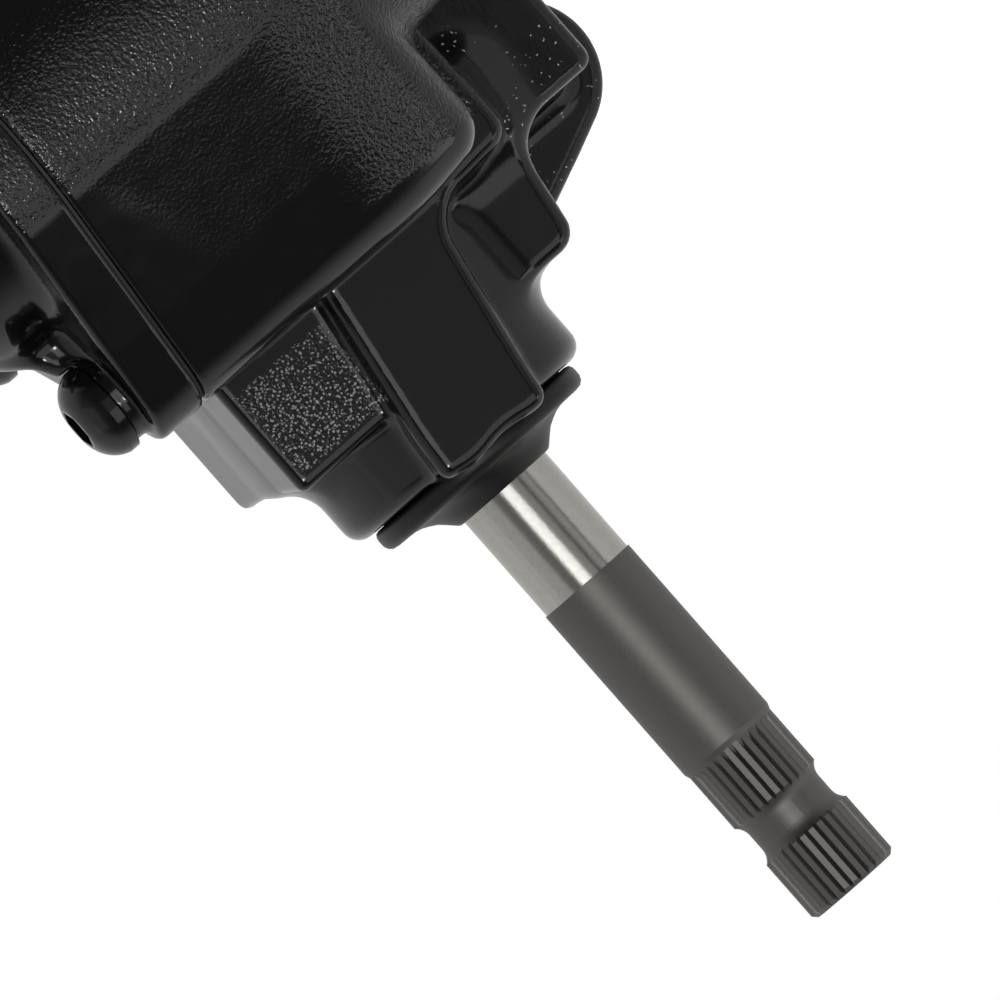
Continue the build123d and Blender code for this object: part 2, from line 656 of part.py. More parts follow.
def lobe(side):
    """The thick lobe in front of one lower lug."""
    near, far = sorted((side * LOBE_INNER_X, side * LOBE_HALF_LENGTH))
    solid = block(near, far, MOUNT_FACE_Y + LUG_PAD_RELIEF, LOBE_FRONT_Y, LOBE_LOW_Z, 0)
    outer = solid.faces().sort_by(Axis.X)[-1 if side > 0 else 0]
    low = solid.faces().sort_by(Axis.Z)[0]
    edges = [edge for edge in outer.edges() if edge.center().Z < -LOBE_EDGE]
    edges += [edge for edge in low.edges() if abs(edge.center().X) < LOBE_HALF_LENGTH - LOBE_EDGE]
    front = [edge for edge in edges if edge.center().Y > LUG_FRONT_Y]
    return fillet(front, LOBE_EDGE)


def lug_places():
    """The mounting holes' centres as (x, z)."""
    for side in (-1, 1):
        for z in (LUG_LOW_Z, LUG_HIGH_Z):
            yield side * LUG_SPACING_X / 2, z


def port_place(index):
    """A port's location: on the boss's sloping face, with +Z out of the mouth."""
    y = PORT_NEAR_Y - PORT_PITCH * index
    drop = math.tan(math.radians(PORT_BOSS_SLOPE))
    z = PORT_BOSS_LOW_Z + drop * (PORT_X - VALVE_FLOOR_X)
    return Pos(PORT_X, y, z) * Rot(0, 180 - PORT_BOSS_SLOPE, 0)


def housing_cuts():
    """Everything that is bored, drilled or milled out of the housing."""
    cuts = [x_cylinder(PISTON_BORE_RADIUS, HOUSING_LEFT_X - PAST, BORE_RIGHT_X)]
    cuts.append(x_cylinder(PISTON_BORE_RADIUS + END_RING_DEPTH, END_PLUG_OUTER_X - END_RING_THICKNESS,
                           END_PLUG_OUTER_X))
    cuts.append(x_cylinder(WORM_RADIUS + WORM_PASSAGE_CLEARANCE, BORE_RIGHT_X - PAST, VALVE_FLOOR_X + PAST))
    cuts.append(x_cylinder(VALVE_BORE_RADIUS, VALVE_FLOOR_X, UPPER_RACE_X + PAST))
    cuts.append(x_cylinder(RETAINER_RADIUS, UPPER_RACE_X, NECK_END_X + PAST))
    cuts.append(x_cylinder(NECK_FACE_RADIUS + SHELF_BOOT_CLEARANCE, NECK_END_X, SHELF_END_X + PAST))
    cuts.append(sector_bar(CAVITY_RADIUS, CAVITY_FLOOR_Z, SEAM_Z + PAST))
    cuts.append(sector_bar(CUP_OUTER, TOWER_END_Z - PAST, CAVITY_FLOOR_Z + PAST))
    ring_low = RING_TOP_Z - RETAINING_RING_THICKNESS
    cuts.append(sector_bar(CUP_OUTER + RETAINING_RING_DEPTH, ring_low, RING_TOP_Z))
    for x, y in screw_places():
        cuts.append(z_cylinder(SCREW_RADIUS, SEAM_Z - SCREW_DEPTH, SEAM_Z + PAST, x, y))
    for x, z in lug_places():
        cuts.append(y_cylinder(LUG_HOLE_RADIUS, MOUNT_FACE_Y - PAST, MOUNT_FACE_Y + LUG_HOLE_DEPTH, x, z))
    for index in range(2):
        place = port_place(index)
        thread_end = place * Pos(0, 0, -PORT_DEPTH)
        cuts.append(place * Cylinder(PORT_RADIUS, 2 * PORT_DEPTH))
        cuts.append(thread_end * Cylinder(SEAT_RADIUS + SEAT_CLEARANCE, 2 * SEAT_HEIGHT))
        cuts.append(thread_end * Pos(0, 0, -SEAT_HEIGHT) * Cylinder(PORT_DRILL_RADIUS, 2 * PORT_DEPTH))
    return cuts


def housing():
    """The one-piece casting."""
    body = box_body() + x_cylinder(BARREL_RADIUS, HOUSING_LEFT_X, VALVE_FLOOR_X)
    body = body + valve_block() + shelf_block() + port_boss() + neck() + tower()
    for side in (-1, 1):
        body = body + lug_web(side) + lobe(side)
    for cut in housing_cuts():
        body = body - cut
    return body


def cover_rib(x, y):
    """The sloping rib from the dome to one screw boss, clear of the screw's head."""
    turn = math.degrees(math.atan2(y - SECTOR_AXIS_Y, x))
    outer = SCREW_CIRCLE - SCREW_HEAD_RADIUS - RIB_GAP
    foot = SCREW_BOSS_TOP_Z - RIB_GAP
    corners = [(HUB_RADIUS, COVER_TOP_Z - PAST), (SCREW_CIRCLE, COVER_TOP_Z - PAST), (SCREW_CIRCLE, foot)]
    corners += [(outer, foot), (outer, foot + RIB_RISE)]
    corners += [(DOME_RADIUS, DOME_TOP_Z - DOME_EDGE), (HUB_RADIUS, DOME_TOP_Z - DOME_EDGE)]
    side = make_face(Polyline(*corners, close=True))
    rib = Pos(0, RIB_THICKNESS / 2, 0) * extrude(Plane.XZ * side, amount=RIB_THICKNESS)
    return Pos(0, SECTOR_AXIS_Y, 0) * Rot(0, 0, turn) * rib


def side_cover():
    """The side cover, with its dome, adjuster hub and screw bosses."""
    plate = outline_plate(COVER_BOTTOM_Z, COVER_TOP_Z)
    plate = fillet(plate.faces().sort_by(Axis.Z)[-1].edges(), COVER_EDGE)
    dome = sector_bar(DOME_RADIUS, COVER_BOTTOM_Z, DOME_TOP_Z)
    dome = fillet(dome.edges().sort_by(Axis.Z)[-1], DOME_EDGE)
    hub = sector_bar(HUB_RADIUS, COVER_BOTTOM_Z, HUB_TOP_Z)
    hub = fillet(hub.edges().sort_by(Axis.Z)[-1], HUB_EDGE)
    cover = plate + dome + hub
    for x, y in screw_places():
        cover = cover + z_cylinder(SCREW_BOSS_RADIUS, COVER_BOTTOM_Z, SCREW_BOSS_TOP_Z, x, y)
        cover = cover + cover_rib(x, y)
    spigot = CAVITY_RADIUS - RUNNING_CLEARANCE
    cover = cover + sector_tube(spigot, spigot - SPIGOT_WALL, SEAM_Z - SPIGOT_LENGTH, COVER_BOTTOM_Z)
    cover = cover - sector_bar(BUSH_RADIUS, COVER_BOTTOM_Z - PAST, BUSH_TOP_Z + PAST)
    cover = cover - sector_bar(ADJUSTER_RADIUS + SEAT_CLEARANCE, BUSH_TOP_Z, HUB_TOP_Z + PAST)
    for x, y in screw_places():
        cover = cover - z_cylinder(SCREW_RADIUS + SCREW_HOLE_CLEARANCE, SEAM_Z, DOME_TOP_Z, x, y)
    return cover


def cover_gasket():
    """The thin gasket in the seam."""
    gasket = outline_plate(SEAM_Z, COVER_BOTTOM_Z, GASKET_INSET)
    gasket = gasket - sector_bar(CAVITY_RADIUS, SEAM_Z - PAST, COVER_BOTTOM_Z + PAST)
    for x, y in screw_places():
        gasket = gasket - z_cylinder(SCREW_RADIUS + SCREW_HOLE_CLEARANCE, SEAM_Z - PAST, COVER_TOP_Z, x, y)
    return gasket


def cover_screw():
    """One button-head screw with a hexagon socket, standing on the XY plane of its head."""
    head = Curve(children=[
        Line((0, 0), (SCREW_HEAD_RADIUS, 0)),
        Line((SCREW_HEAD_RADIUS, 0), (SCREW_HEAD_RADIUS, SCREW_HEAD_RIM)),
        ThreePointArc((SCREW_HEAD_RADIUS, SCREW_HEAD_RIM), SCREW_HEAD_BULGE,
                      (SCREW_HEAD_TOP_RADIUS, SCREW_HEAD_HEIGHT)),
        Line((SCREW_HEAD_TOP_RADIUS, SCREW_HEAD_HEIGHT), (0, SCREW_HEAD_HEIGHT)),
        Line((0, SCREW_HEAD_HEIGHT), (0, 0)),
    ])
    screw = revolve(Plane.XZ * make_face(head), Axis.Z, 360)
    length = SCREW_BOSS_TOP_Z - SEAM_Z + SCREW_DEPTH - 1
    shank = Pos(0, 0, -length / 2) * Cylinder(SCREW_RADIUS - SEAT_CLEARANCE, length)
    socket = Pos(0, 0, SCREW_HEAD_HEIGHT - SCREW_SOCKET_DEPTH) * hex_prism(SCREW_SOCKET_FLATS,
                                                                          SCREW_SOCKET_DEPTH + PAST)
    return screw + shank - socket


def cover_screws():
    """The cover's four screws."""
    return [Pos(x, y, SCREW_BOSS_TOP_Z) * cover_screw() for x, y in screw_places()]


def cover_bush():
    """The plain bearing in the cover."""
    inner = OUTPUT_RADIUS + RUNNING_CLEARANCE
    return sector_tube(BUSH_RADIUS, inner, BUSH_BOTTOM_Z, BUSH_TOP_Z)


def adjuster_screw():
    """The lash adjuster: its round head sits in the sector shaft's slot."""
    head_low = SLOT_FLOOR_Z + ADJUSTER_AXIAL_CLEARANCE
    head_high = SLOT_LIP_Z - ADJUSTER_AXIAL_CLEARANCE
    head = sector_bar(ADJUSTER_HEAD_RADIUS, head_low, head_high)
    stem = sector_bar(ADJUSTER_RADIUS, head_low, ADJUSTER_TOP_Z)
    stem = chamfer(stem.edges().sort_by(Axis.Z)[-1], TURNED_EDGE)
    socket = hex_prism(ADJUSTER_SOCKET_FLATS, ADJUSTER_SOCKET_DEPTH + PAST)
    return head + stem - Pos(0, SECTOR_AXIS_Y, ADJUSTER_TOP_Z - ADJUSTER_SOCKET_DEPTH) * socket


def chamfered_nut(flats, height, bore, cut):
    """A hexagon nut with its corners turned off, on the XY plane."""
    corner = flats / math.sqrt(3)
    blank = Pos(0, 0, height / 2) * Cylinder(corner, height)
    blank = chamfer(blank.edges().filter_by(GeomType.CIRCLE), cut / 2, cut)
    return (hex_prism(flats, height) & blank) - Pos(0, 0, height / 2) * Cylinder(bore, height + 2)


def adjuster_locknut():
    """The nut that locks the lash adjuster."""
    nut = chamfered_nut(LOCKNUT_FLATS, LOCKNUT_HEIGHT, ADJUSTER_RADIUS + SEAT_CLEARANCE, TURNED_EDGE)
    return Pos(0, SECTOR_AXIS_Y, HUB_TOP_Z) * nut


def sector_shaft():
    """The sector and its shaft, with the tapered spline and thread at the foot."""
    shaft = sector_bar(OUTPUT_RADIUS, SPLINE_TOP_Z, SHAFT_TOP_Z)
    shaft = chamfer(shaft.edges().sort_by(Axis.Z)[-1], TURNED_EDGE)
    shaft = shaft + sector_bar(ROOT_RADIUS, -SECTOR_HALF_WIDTH, SECTOR_HALF_WIDTH)
    tooth = extrude(Pos(0, 0, -SECTOR_HALF_WIDTH) * sector_tooth(), amount=2 * SECTOR_HALF_WIDTH)
    for index in range(SECTOR_TEETH):
        turn = (index - (SECTOR_TEETH - 1) / 2) * 360 / FULL_CIRCLE_TEETH
        shaft = shaft + Pos(0, SECTOR_AXIS_Y, 0) * Rot(0, 0, turn) * tooth
    edge = gear_edge(SPLINE_RADIUS, SPLINE_DEPTH, SPLINE_TEETH, SERRATION_LAND)
    spline = extrude(edge, amount=SPLINE_LENGTH, taper=SPLINE_TAPER)
    shaft = shaft + Pos(0, SECTOR_AXIS_Y, SPLINE_TOP_Z) * Rot(180, 0, 0) * spline
    thread = sector_bar(THREAD_RADIUS, THREAD_END_Z, SPLINE_END_Z + PAST)
    shaft = shaft + chamfer(thread.edges().sort_by(Axis.Z)[0], TURNED_EDGE)
    slot_half = ADJUSTER_RADIUS + ADJUSTER_SIDE_CLEARANCE
    head_half = ADJUSTER_HEAD_RADIUS + ADJUSTER_SIDE_CLEARANCE
    reach = 2 * OUTPUT_RADIUS
    y0 = SECTOR_AXIS_Y
    shaft = shaft - block(-reach, slot_half, y0 - slot_half, y0 + slot_half, SLOT_FLOOR_Z, SHAFT_TOP_Z + PAST)
    return shaft - block(-reach, head_half, y0 - head_half, y0 + head_half, SLOT_FLOOR_Z, SLOT_LIP_Z)


def lock_washer():
    """The split lock washer under the output nut."""
    ring = open_ring(LOCK_WASHER_RADIUS, THREAD_RADIUS + SEAT_CLEARANCE, LOCK_WASHER_THICKNESS,
                     LOCK_WASHER_MOUTH)
    return Pos(0, SECTOR_AXIS_Y, SPLINE_END_Z - LOCK_WASHER_THICKNESS / 2) * ring


def output_nut():
    """The large nut at the foot of the sector shaft."""
    nut = chamfered_nut(NUT_FLATS, NUT_HEIGHT, THREAD_RADIUS + SEAT_CLEARANCE, NUT_CHAMFER)
    return Pos(0, SECTOR_AXIS_Y, LOCK_WASHER_END_Z - NUT_HEIGHT) * nut


def bearing_cup():
    """The output bearing's outer race."""
    return sector_tube(CUP_OUTER, CUP_INNER, CUP_TOP_Z - CUP_LENGTH, CUP_TOP_Z)


def output_rollers():
    """The output bearing's rollers."""
    circle = OUTPUT_RADIUS + ROLLING_CLEARANCE + ROLLER_RADIUS
    middle = CUP_TOP_Z - CUP_LENGTH / 2
    rollers = []
    for index in range(ROLLERS):
        turn = 2 * math.pi * index / ROLLERS
        place = Pos(circle * math.cos(turn), SECTOR_AXIS_Y + circle * math.sin(turn), middle)
        rollers.append(place * Cylinder(ROLLER_RADIUS, ROLLER_LENGTH))
    return rollers


def output_seal():
    """The oil seal around the sector shaft: a cup section with its lip on the shaft."""
    inner = OUTPUT_RADIUS + RUNNING_CLEARANCE
    low = OUTPUT_SEAL_TOP_Z - OUTPUT_SEAL_LENGTH
    seal = sector_tube(CUP_OUTER, inner, low, OUTPUT_SEAL_TOP_Z)
    room = sector_tube(CUP_OUTER - SEAL_SHELL, inner + SEAL_LIP, low + SEAL_BACK, OUTPUT_SEAL_TOP_Z + PAST)
    return seal - room


def backup_washer():
    """The washer that backs the oil seal."""
    inner = OUTPUT_RADIUS + ADJUSTER_SIDE_CLEARANCE
    return sector_tube(CUP_OUTER, inner, RING_TOP_Z, BACKUP_TOP_Z)


def output_retaining_ring():
    """The snap ring that holds the oil seal in."""
    outer = CUP_OUTER + RETAINING_RING_DEPTH
    ring = open_ring(outer, outer - RETAINING_RING_WIDTH, RETAINING_RING_THICKNESS, RETAINING_RING_MOUTH)
    return Pos(0, SECTOR_AXIS_Y, RING_TOP_Z - RETAINING_RING_THICKNESS / 2) * ring


def output_dust_seal():
    """The outer dust seal at the tower's mouth."""
    inner = OUTPUT_RADIUS + RUNNING_CLEARANCE
    return sector_tube(CUP_OUTER, inner, DUST_SEAL_TOP_Z - DUST_SEAL_LENGTH, DUST_SEAL_TOP_Z)


def rack_space(index):
    """One tooth space of the rack, as a solid to cut away."""
    slope = math.tan(math.radians(PRESSURE_ANGLE))
    half = RACK_PITCH / 4 + TOOTH_BACKLASH
    top = TOOTH_ADDENDUM + PISTON_RADIUS - RACK_TOP_Y + 1
    root = half - TOOTH_DEDENDUM * slope
    mouth = half + top * slope
    corners = [(-root, -TOOTH_DEDENDUM), (root, -TOOTH_DEDENDUM), (mouth, top), (-mouth, top)]
    face = Pos(index * RACK_PITCH, RACK_PITCH_Y, -PISTON_RADIUS) * make_face(Polyline(*corners, close=True))
    return extrude(face, amount=2 * PISTON_RADIUS)


def clamp_recess():
    """The milled recess for the ball guides and their clamp."""
    frame = return_plane()
    x0, _, z0 = track_position(0)
    x1, _, z1 = track_position(1)
    run = math.hypot(x1 - x0, z1 - z0)
    half = BALL_RADIUS + GUIDE_WALL + GUIDE_CLEARANCE
    depth = PISTON_RADIUS
    slot = Pos(0, 0, GUIDE_DEPTH + depth / 2) * Box(run, 2 * half, depth)
    floor = GUIDE_DEPTH + BALL_RADIUS + GUIDE_WALL
    room = (CLAMP_WIDTH + 2 * CLAMP_ROOM, CLAMP_LENGTH + 2 * CLAMP_ROOM)
    strap = Pos(0, 0, floor + depth / 2) * Box(*room, depth)
    return frame.location * (slot + strap)


def rack_piston():
    """The rack piston: rack, ball nut and piston in one."""
    piston = x_cylinder(PISTON_RADIUS, PISTON_LEFT_X, PISTON_RIGHT_X)
    piston = chamfer(piston.edges().filter_by(GeomType.CIRCLE), TURNED_EDGE)
    flat = RACK_FLAT_HALF_LENGTH
    piston = piston - block(-flat, flat + PISTON_RIGHT_X, RACK_TOP_Y, PISTON_RADIUS + PAST,
                            -PISTON_RADIUS, PISTON_RADIUS)
    for index in range(-(SECTOR_TEETH // 2), SECTOR_TEETH // 2 + 1):
        piston = piston - rack_space(index)
    piston = piston - x_cylinder(NUT_BORE_RADIUS, PISTON_LEFT_X, PISTON_RIGHT_X + PAST)
    plug_end = PISTON_LEFT_X + PISTON_PLUG_THICKNESS
    piston = piston - x_cylinder(PISTON_PLUG_RADIUS, PISTON_LEFT_X - PAST, plug_end)
    groove = PISTON_RADIUS - PISTON_RING_DEPTH - RING_EXPANDER_DEPTH
    ring = x_tube(PISTON_RADIUS + PAST, groove, PISTON_RING_X, PISTON_RING_X + PISTON_RING_WIDTH)
    piston = cut_track(piston - ring, 0, 1) - clamp_recess()
    piston = piston - swept_round(return_path(), BALL_RADIUS + GUIDE_WALL + GUIDE_CLEARANCE)
    for share in (0, 1):
        x, _, z = track_position(share)
        piston = piston - y_cylinder(GROOVE_RADIUS, -GUIDE_LEG_END - PAST, 0, x, z)
    for hole in clamp_screw_places():
        piston = piston - hole * Cylinder(CLAMP_SCREW_RADIUS, 2 * CLAMP_SCREW_LENGTH)
    return piston


def clamp_screw_places():
    """Where the two clamp screws sit, on the clamp's outer face."""
    frame = return_plane()
    level = GUIDE_DEPTH + BALL_RADIUS + GUIDE_WALL + CLAMP_THICKNESS
    for side in (-1, 1):
        yield frame.location * Pos(0, side * CLAMP_SCREW_PITCH / 2, level)


def ball_guides():
    """The two halves of the ball return tube."""
    tube = swept_round(return_path(), BALL_RADIUS + GUIDE_WALL)
    tube = tube - swept_round(return_path(), BALL_RADIUS + GUIDE_CLEARANCE)
    frame = return_plane()
    width = 2 * PISTON_RADIUS
    half = Box(2 * width, width, 2 * width)
    return [tube & (frame.location * Pos(0, side * width / 2, 0) * half) for side in (-1, 1)]


def guide_clamp():
    """The strap that holds the ball guides down."""
    level = GUIDE_DEPTH + BALL_RADIUS + GUIDE_WALL
    strap = return_plane().location * (Pos(0, 0, level + CLAMP_THICKNESS / 2) * Box(
        CLAMP_WIDTH, CLAMP_LENGTH, CLAMP_THICKNESS))
    for place in clamp_screw_places():
        strap = strap - place * Cylinder(CLAMP_SCREW_RADIUS + RUNNING_CLEARANCE, 3 * CLAMP_THICKNESS)
    return strap


def clamp_screws():
    """The strap's two screws."""
    screws = []
    for place in clamp_screw_places():
        head = Pos(0, 0, CLAMP_HEAD_HEIGHT / 2) * Cylinder(CLAMP_HEAD_RADIUS, CLAMP_HEAD_HEIGHT)
        length = CLAMP_SCREW_LENGTH - PAST
        shank = Pos(0, 0, -length / 2) * Cylinder(CLAMP_SCREW_RADIUS - SEAT_CLEARANCE, length)
        screws.append(place * (head + shank))
    return screws


def balls():
    """The balls in the track and in the return tube."""
    spheres = []
    for index in range(TRACK_BALLS):
        spheres.append(Pos(*track_position((index + 0.5) / TRACK_BALLS)) * Sphere(BALL_RADIUS))
    path = return_path()
    for index in range(RETURN_BALLS):
        point = path @ ((index + 0.5) / RETURN_BALLS)
        spheres.append(Pos(*point) * Sphere(BALL_RADIUS))
    return spheres


def piston_plug():
    """The plug that closes the rack piston."""
    end = PISTON_LEFT_X + PISTON_PLUG_THICKNESS
    plug = x_cylinder(PISTON_PLUG_RADIUS - SEAT_CLEARANCE, PISTON_LEFT_X, end)
    socket = hex_prism(PLUG_SOCKET_FLATS, PLUG_SOCKET_DEPTH + PAST)
    return plug - Pos(PISTON_LEFT_X - PAST, 0, 0) * Rot(0, 90, 0) * socket


def piston_ring():
    """The sealing ring in the piston's groove."""
    inner = PISTON_RADIUS - PISTON_RING_DEPTH
    right = PISTON_RING_X + PISTON_RING_WIDTH
    return x_tube(PISTON_BORE_RADIUS - SEAT_CLEARANCE, inner, PISTON_RING_X, right)


def ring_expander():
    """The rubber ring behind the piston ring."""
    outer = PISTON_RADIUS - PISTON_RING_DEPTH
    right = PISTON_RING_X + PISTON_RING_WIDTH
    return x_tube(outer, outer - RING_EXPANDER_DEPTH, PISTON_RING_X, right)


def tang_slot_half():
    """Half the width of the worm's slot that stops the input shaft at the twist limit."""
    turn = math.radians(TWIST_STOP_ANGLE)
    reach = TANG_HALF_THICKNESS * math.cos(turn) + TANG_HALF_WIDTH * math.sin(turn)
    return reach + RUNNING_CLEARANCE


def worm():
    """The worm, with its flange and the slot for the input shaft's tang."""
    body = x_cylinder(WORM_RADIUS, WORM_LEFT_X, WORM_THREAD_END_X)
    body = chamfer(body.edges().filter_by(GeomType.CIRCLE).sort_by(Axis.X)[0], TURNED_EDGE)
    spare = (RACK_TRAVEL + WORM_GROOVE_SPARE) / TRACK_LENGTH
    body = cut_track(body, -spare, 1 + spare)
    body = body + x_cylinder(WORM_STEM_RADIUS, WORM_THREAD_END_X, WORM_FLANGE_X + PAST)
    body = body + x_cylinder(WORM_FLANGE_RADIUS, WORM_FLANGE_X, SLEEVE_X)
    slot_left = SLEEVE_X - TANG_LENGTH - FACE_CLEARANCE
    half = tang_slot_half()
    corner = math.hypot(TANG_HALF_THICKNESS, TANG_HALF_WIDTH) + RUNNING_CLEARANCE
    slot = block(slot_left, SLEEVE_X + PAST, -corner, corner, -half, half)
    body = body - (slot & x_cylinder(corner, slot_left, SLEEVE_X + PAST))
    body = body - x_cylinder(BAR_END_RADIUS + SEAT_CLEARANCE, BAR_LEFT_X, SLEEVE_X + PAST)
    return body - sleeve_pin_bar(SLEEVE_PIN_RADIUS + SEAT_CLEARANCE)


def sleeve_pin_bar(radius):
    """A bar at the sleeve pin's place."""
    return x_cylinder(radius, WORM_FLANGE_X, SLEEVE_X + SLEEVE_PIN_REACH, z=SLEEVE_PIN_CIRCLE)


def sleeve_ring_left(index):
    """The left side of one sleeve ring groove."""
    pitch = SLEEVE_LENGTH / SLEEVE_RINGS
    return SLEEVE_X + pitch * (index + 0.5) - SLEEVE_RING_WIDTH / 2


def valve_sleeve():
    """The rotary valve's sleeve, with ring grooves and slots inside."""
    sleeve = x_tube(SLEEVE_RADIUS, SLEEVE_BORE_RADIUS, SLEEVE_X, SLEEVE_END_X)
    for index in range(SLEEVE_RINGS):
        left = sleeve_ring_left(index)
        right = left + SLEEVE_RING_WIDTH
        sleeve = sleeve - x_tube(SLEEVE_RADIUS + PAST, SLEEVE_RADIUS - SLEEVE_RING_DEPTH, left, right)
    for index in range(SPOOL_SLOTS):
        middle = (SLEEVE_X + SLEEVE_END_X) / 2
        slot = Box(SLEEVE_LENGTH - 2 * SLOT_END_WALL, SPOOL_SLOT_WIDTH, 2 * SPOOL_SLOT_DEPTH)
        turn = 360 * (index + 0.5) / SPOOL_SLOTS
        sleeve = sleeve - Pos(middle, 0, 0) * Rot(turn, 0, 0) * Pos(0, 0, SLEEVE_BORE_RADIUS) * slot
    return sleeve - sleeve_pin_bar(SLEEVE_PIN_RADIUS + SEAT_CLEARANCE)


def sleeve_rings():
    """The sleeve's sealing rings."""
    rings = []
    outer = VALVE_BORE_RADIUS - SEAT_CLEARANCE
    inner = SLEEVE_RADIUS - SLEEVE_RING_DEPTH
    for index in range(SLEEVE_RINGS):
        left = sleeve_ring_left(index)
        rings.append(x_tube(outer, inner, left, left + SLEEVE_RING_WIDTH))
    return rings


def thrust_needles(left):
    """A ring of radial needles between two races."""
    needles = []
    for index in range(THRUST_NEEDLES):
        turn = 360 * index / THRUST_NEEDLES
        needle = Cylinder(THRUST_NEEDLE_RADIUS, THRUST_NEEDLE_LENGTH)
        middle = left + NEEDLE_ROOM / 2
        needles.append(Pos(middle, 0, 0) * Rot(turn, 0, 0) * Pos(0, 0, THRUST_NEEDLE_CIRCLE) * needle)
    return needles


def bearing_retainer():
    """The threaded plug in the neck that holds the valve and the input bearing."""
    plug = x_cylinder(RETAINER_RADIUS - SEAT_CLEARANCE, RETAINER_X, RETAINER_END_X)
    plug = plug - x_cylinder(INPUT_CUP_OUTER, RETAINER_X - PAST, RETAINER_END_X + PAST)
    plug = plug - x_cylinder(INPUT_SEAL_RADIUS, RETAINER_END_X - INPUT_SEAL_LENGTH, RETAINER_END_X + PAST)
    groove = RETAINER_RADIUS - RETAINER_SEAL_SECTION
    left = RETAINER_X + RETAINER_SEAL_PLACE
    return plug - x_tube(RETAINER_RADIUS + PAST, groove, left, left + RETAINER_SEAL_SECTION)


def retainer_seal():
    """The ring seal around the bearing retainer."""
    left = RETAINER_X + RETAINER_SEAL_PLACE
    inner = RETAINER_RADIUS - RETAINER_SEAL_SECTION
    return x_tube(RETAINER_RADIUS - SEAT_CLEARANCE, inner, left, left + RETAINER_SEAL_SECTION)


def input_bearing():
    """The needle bearing around the input shaft: a cup and its needles."""
    left = RETAINER_X + INPUT_CUP_END
    right = left + INPUT_NEEDLE_LENGTH + 2 * INPUT_CUP_END
    pieces = [x_tube(INPUT_CUP_OUTER, INPUT_CUP_INNER, left, right)]
    circle = INPUT_RADIUS + ROLLING_CLEARANCE + INPUT_NEEDLE_RADIUS
    for index in range(INPUT_NEEDLES):
        turn = 2 * math.pi * index / INPUT_NEEDLES
        y, z = circle * math.cos(turn), circle * math.sin(turn)
        pieces.append(x_cylinder(INPUT_NEEDLE_RADIUS, left + INPUT_CUP_END, right - INPUT_CUP_END, y, z))
    return pieces


def input_seal():
    """The oil seal around the input shaft."""
    inner = INPUT_RADIUS + RUNNING_CLEARANCE
    left = RETAINER_END_X - INPUT_SEAL_LENGTH
    seal = x_tube(INPUT_SEAL_RADIUS, inner, left, RETAINER_END_X)
    room = x_tube(INPUT_SEAL_RADIUS - SEAL_SHELL, inner + SEAL_LIP, left - PAST, RETAINER_END_X - SEAL_BACK)
    return seal - room


def waist_profile():
    """The input shaft's outline from its plain length to its tip, as (x, radius) pieces."""
    middle = (FIRST_SERRATION_END_X + WAIST_END_X) / 2
    flat = WAIST_FLAT_HALF_LENGTH
    left, right = FIRST_SERRATION_END_X - PAST, WAIST_END_X + PAST
    floor_left, floor_right = (middle - flat, WAIST_RADIUS), (middle + flat, WAIST_RADIUS)
    rim_left, rim_right = (FIRST_SERRATION_END_X, SERRATION_RADIUS), (WAIST_END_X, SERRATION_RADIUS)
    lines = [Polyline((left, 0), (left, SERRATION_RADIUS), rim_left)]
    lines.append(TangentArc(floor_left, rim_left, tangent=(-1, 0)))
    lines.append(Line(floor_left, floor_right))
    lines.append(TangentArc(floor_right, rim_right, tangent=(1, 0)))
    lines.append(Polyline(rim_right, (right, SERRATION_RADIUS), (right, 0), (left, 0)))
    return make_face(Curve(children=lines))


def shaft_outer_end():
    """The serrated end of the input shaft, with the waist for the clamp bolt."""
    run_out = [(PLAIN_END_X - PAST, 0), (PLAIN_END_X - PAST, PLAIN_RADIUS), (PLAIN_END_X, PLAIN_RADIUS)]
    run_out += [(PLAIN_END_X + RUN_OUT_LENGTH, SERRATION_RADIUS - SERRATION_DEPTH),
                (PLAIN_END_X + RUN_OUT_LENGTH, 0)]
    first = serration(PLAIN_END_X - PAST, FIRST_SERRATION_END_X)
    second = serration(WAIST_END_X, TIP_X)
    waist = revolve(Plane.XY * waist_profile(), Axis.X, 360)
    waist = waist & (serration(FIRST_SERRATION_END_X - PAST, WAIST_END_X + PAST))
    end = x_turned(run_out) + first + second + waist
    tip = x_cylinder(SERRATION_RADIUS + PAST, PLAIN_END_X - 2 * PAST, TIP_X)
    return end & chamfer(tip.edges().sort_by(Axis.X)[-1], PAST + TIP_CHAMFER)


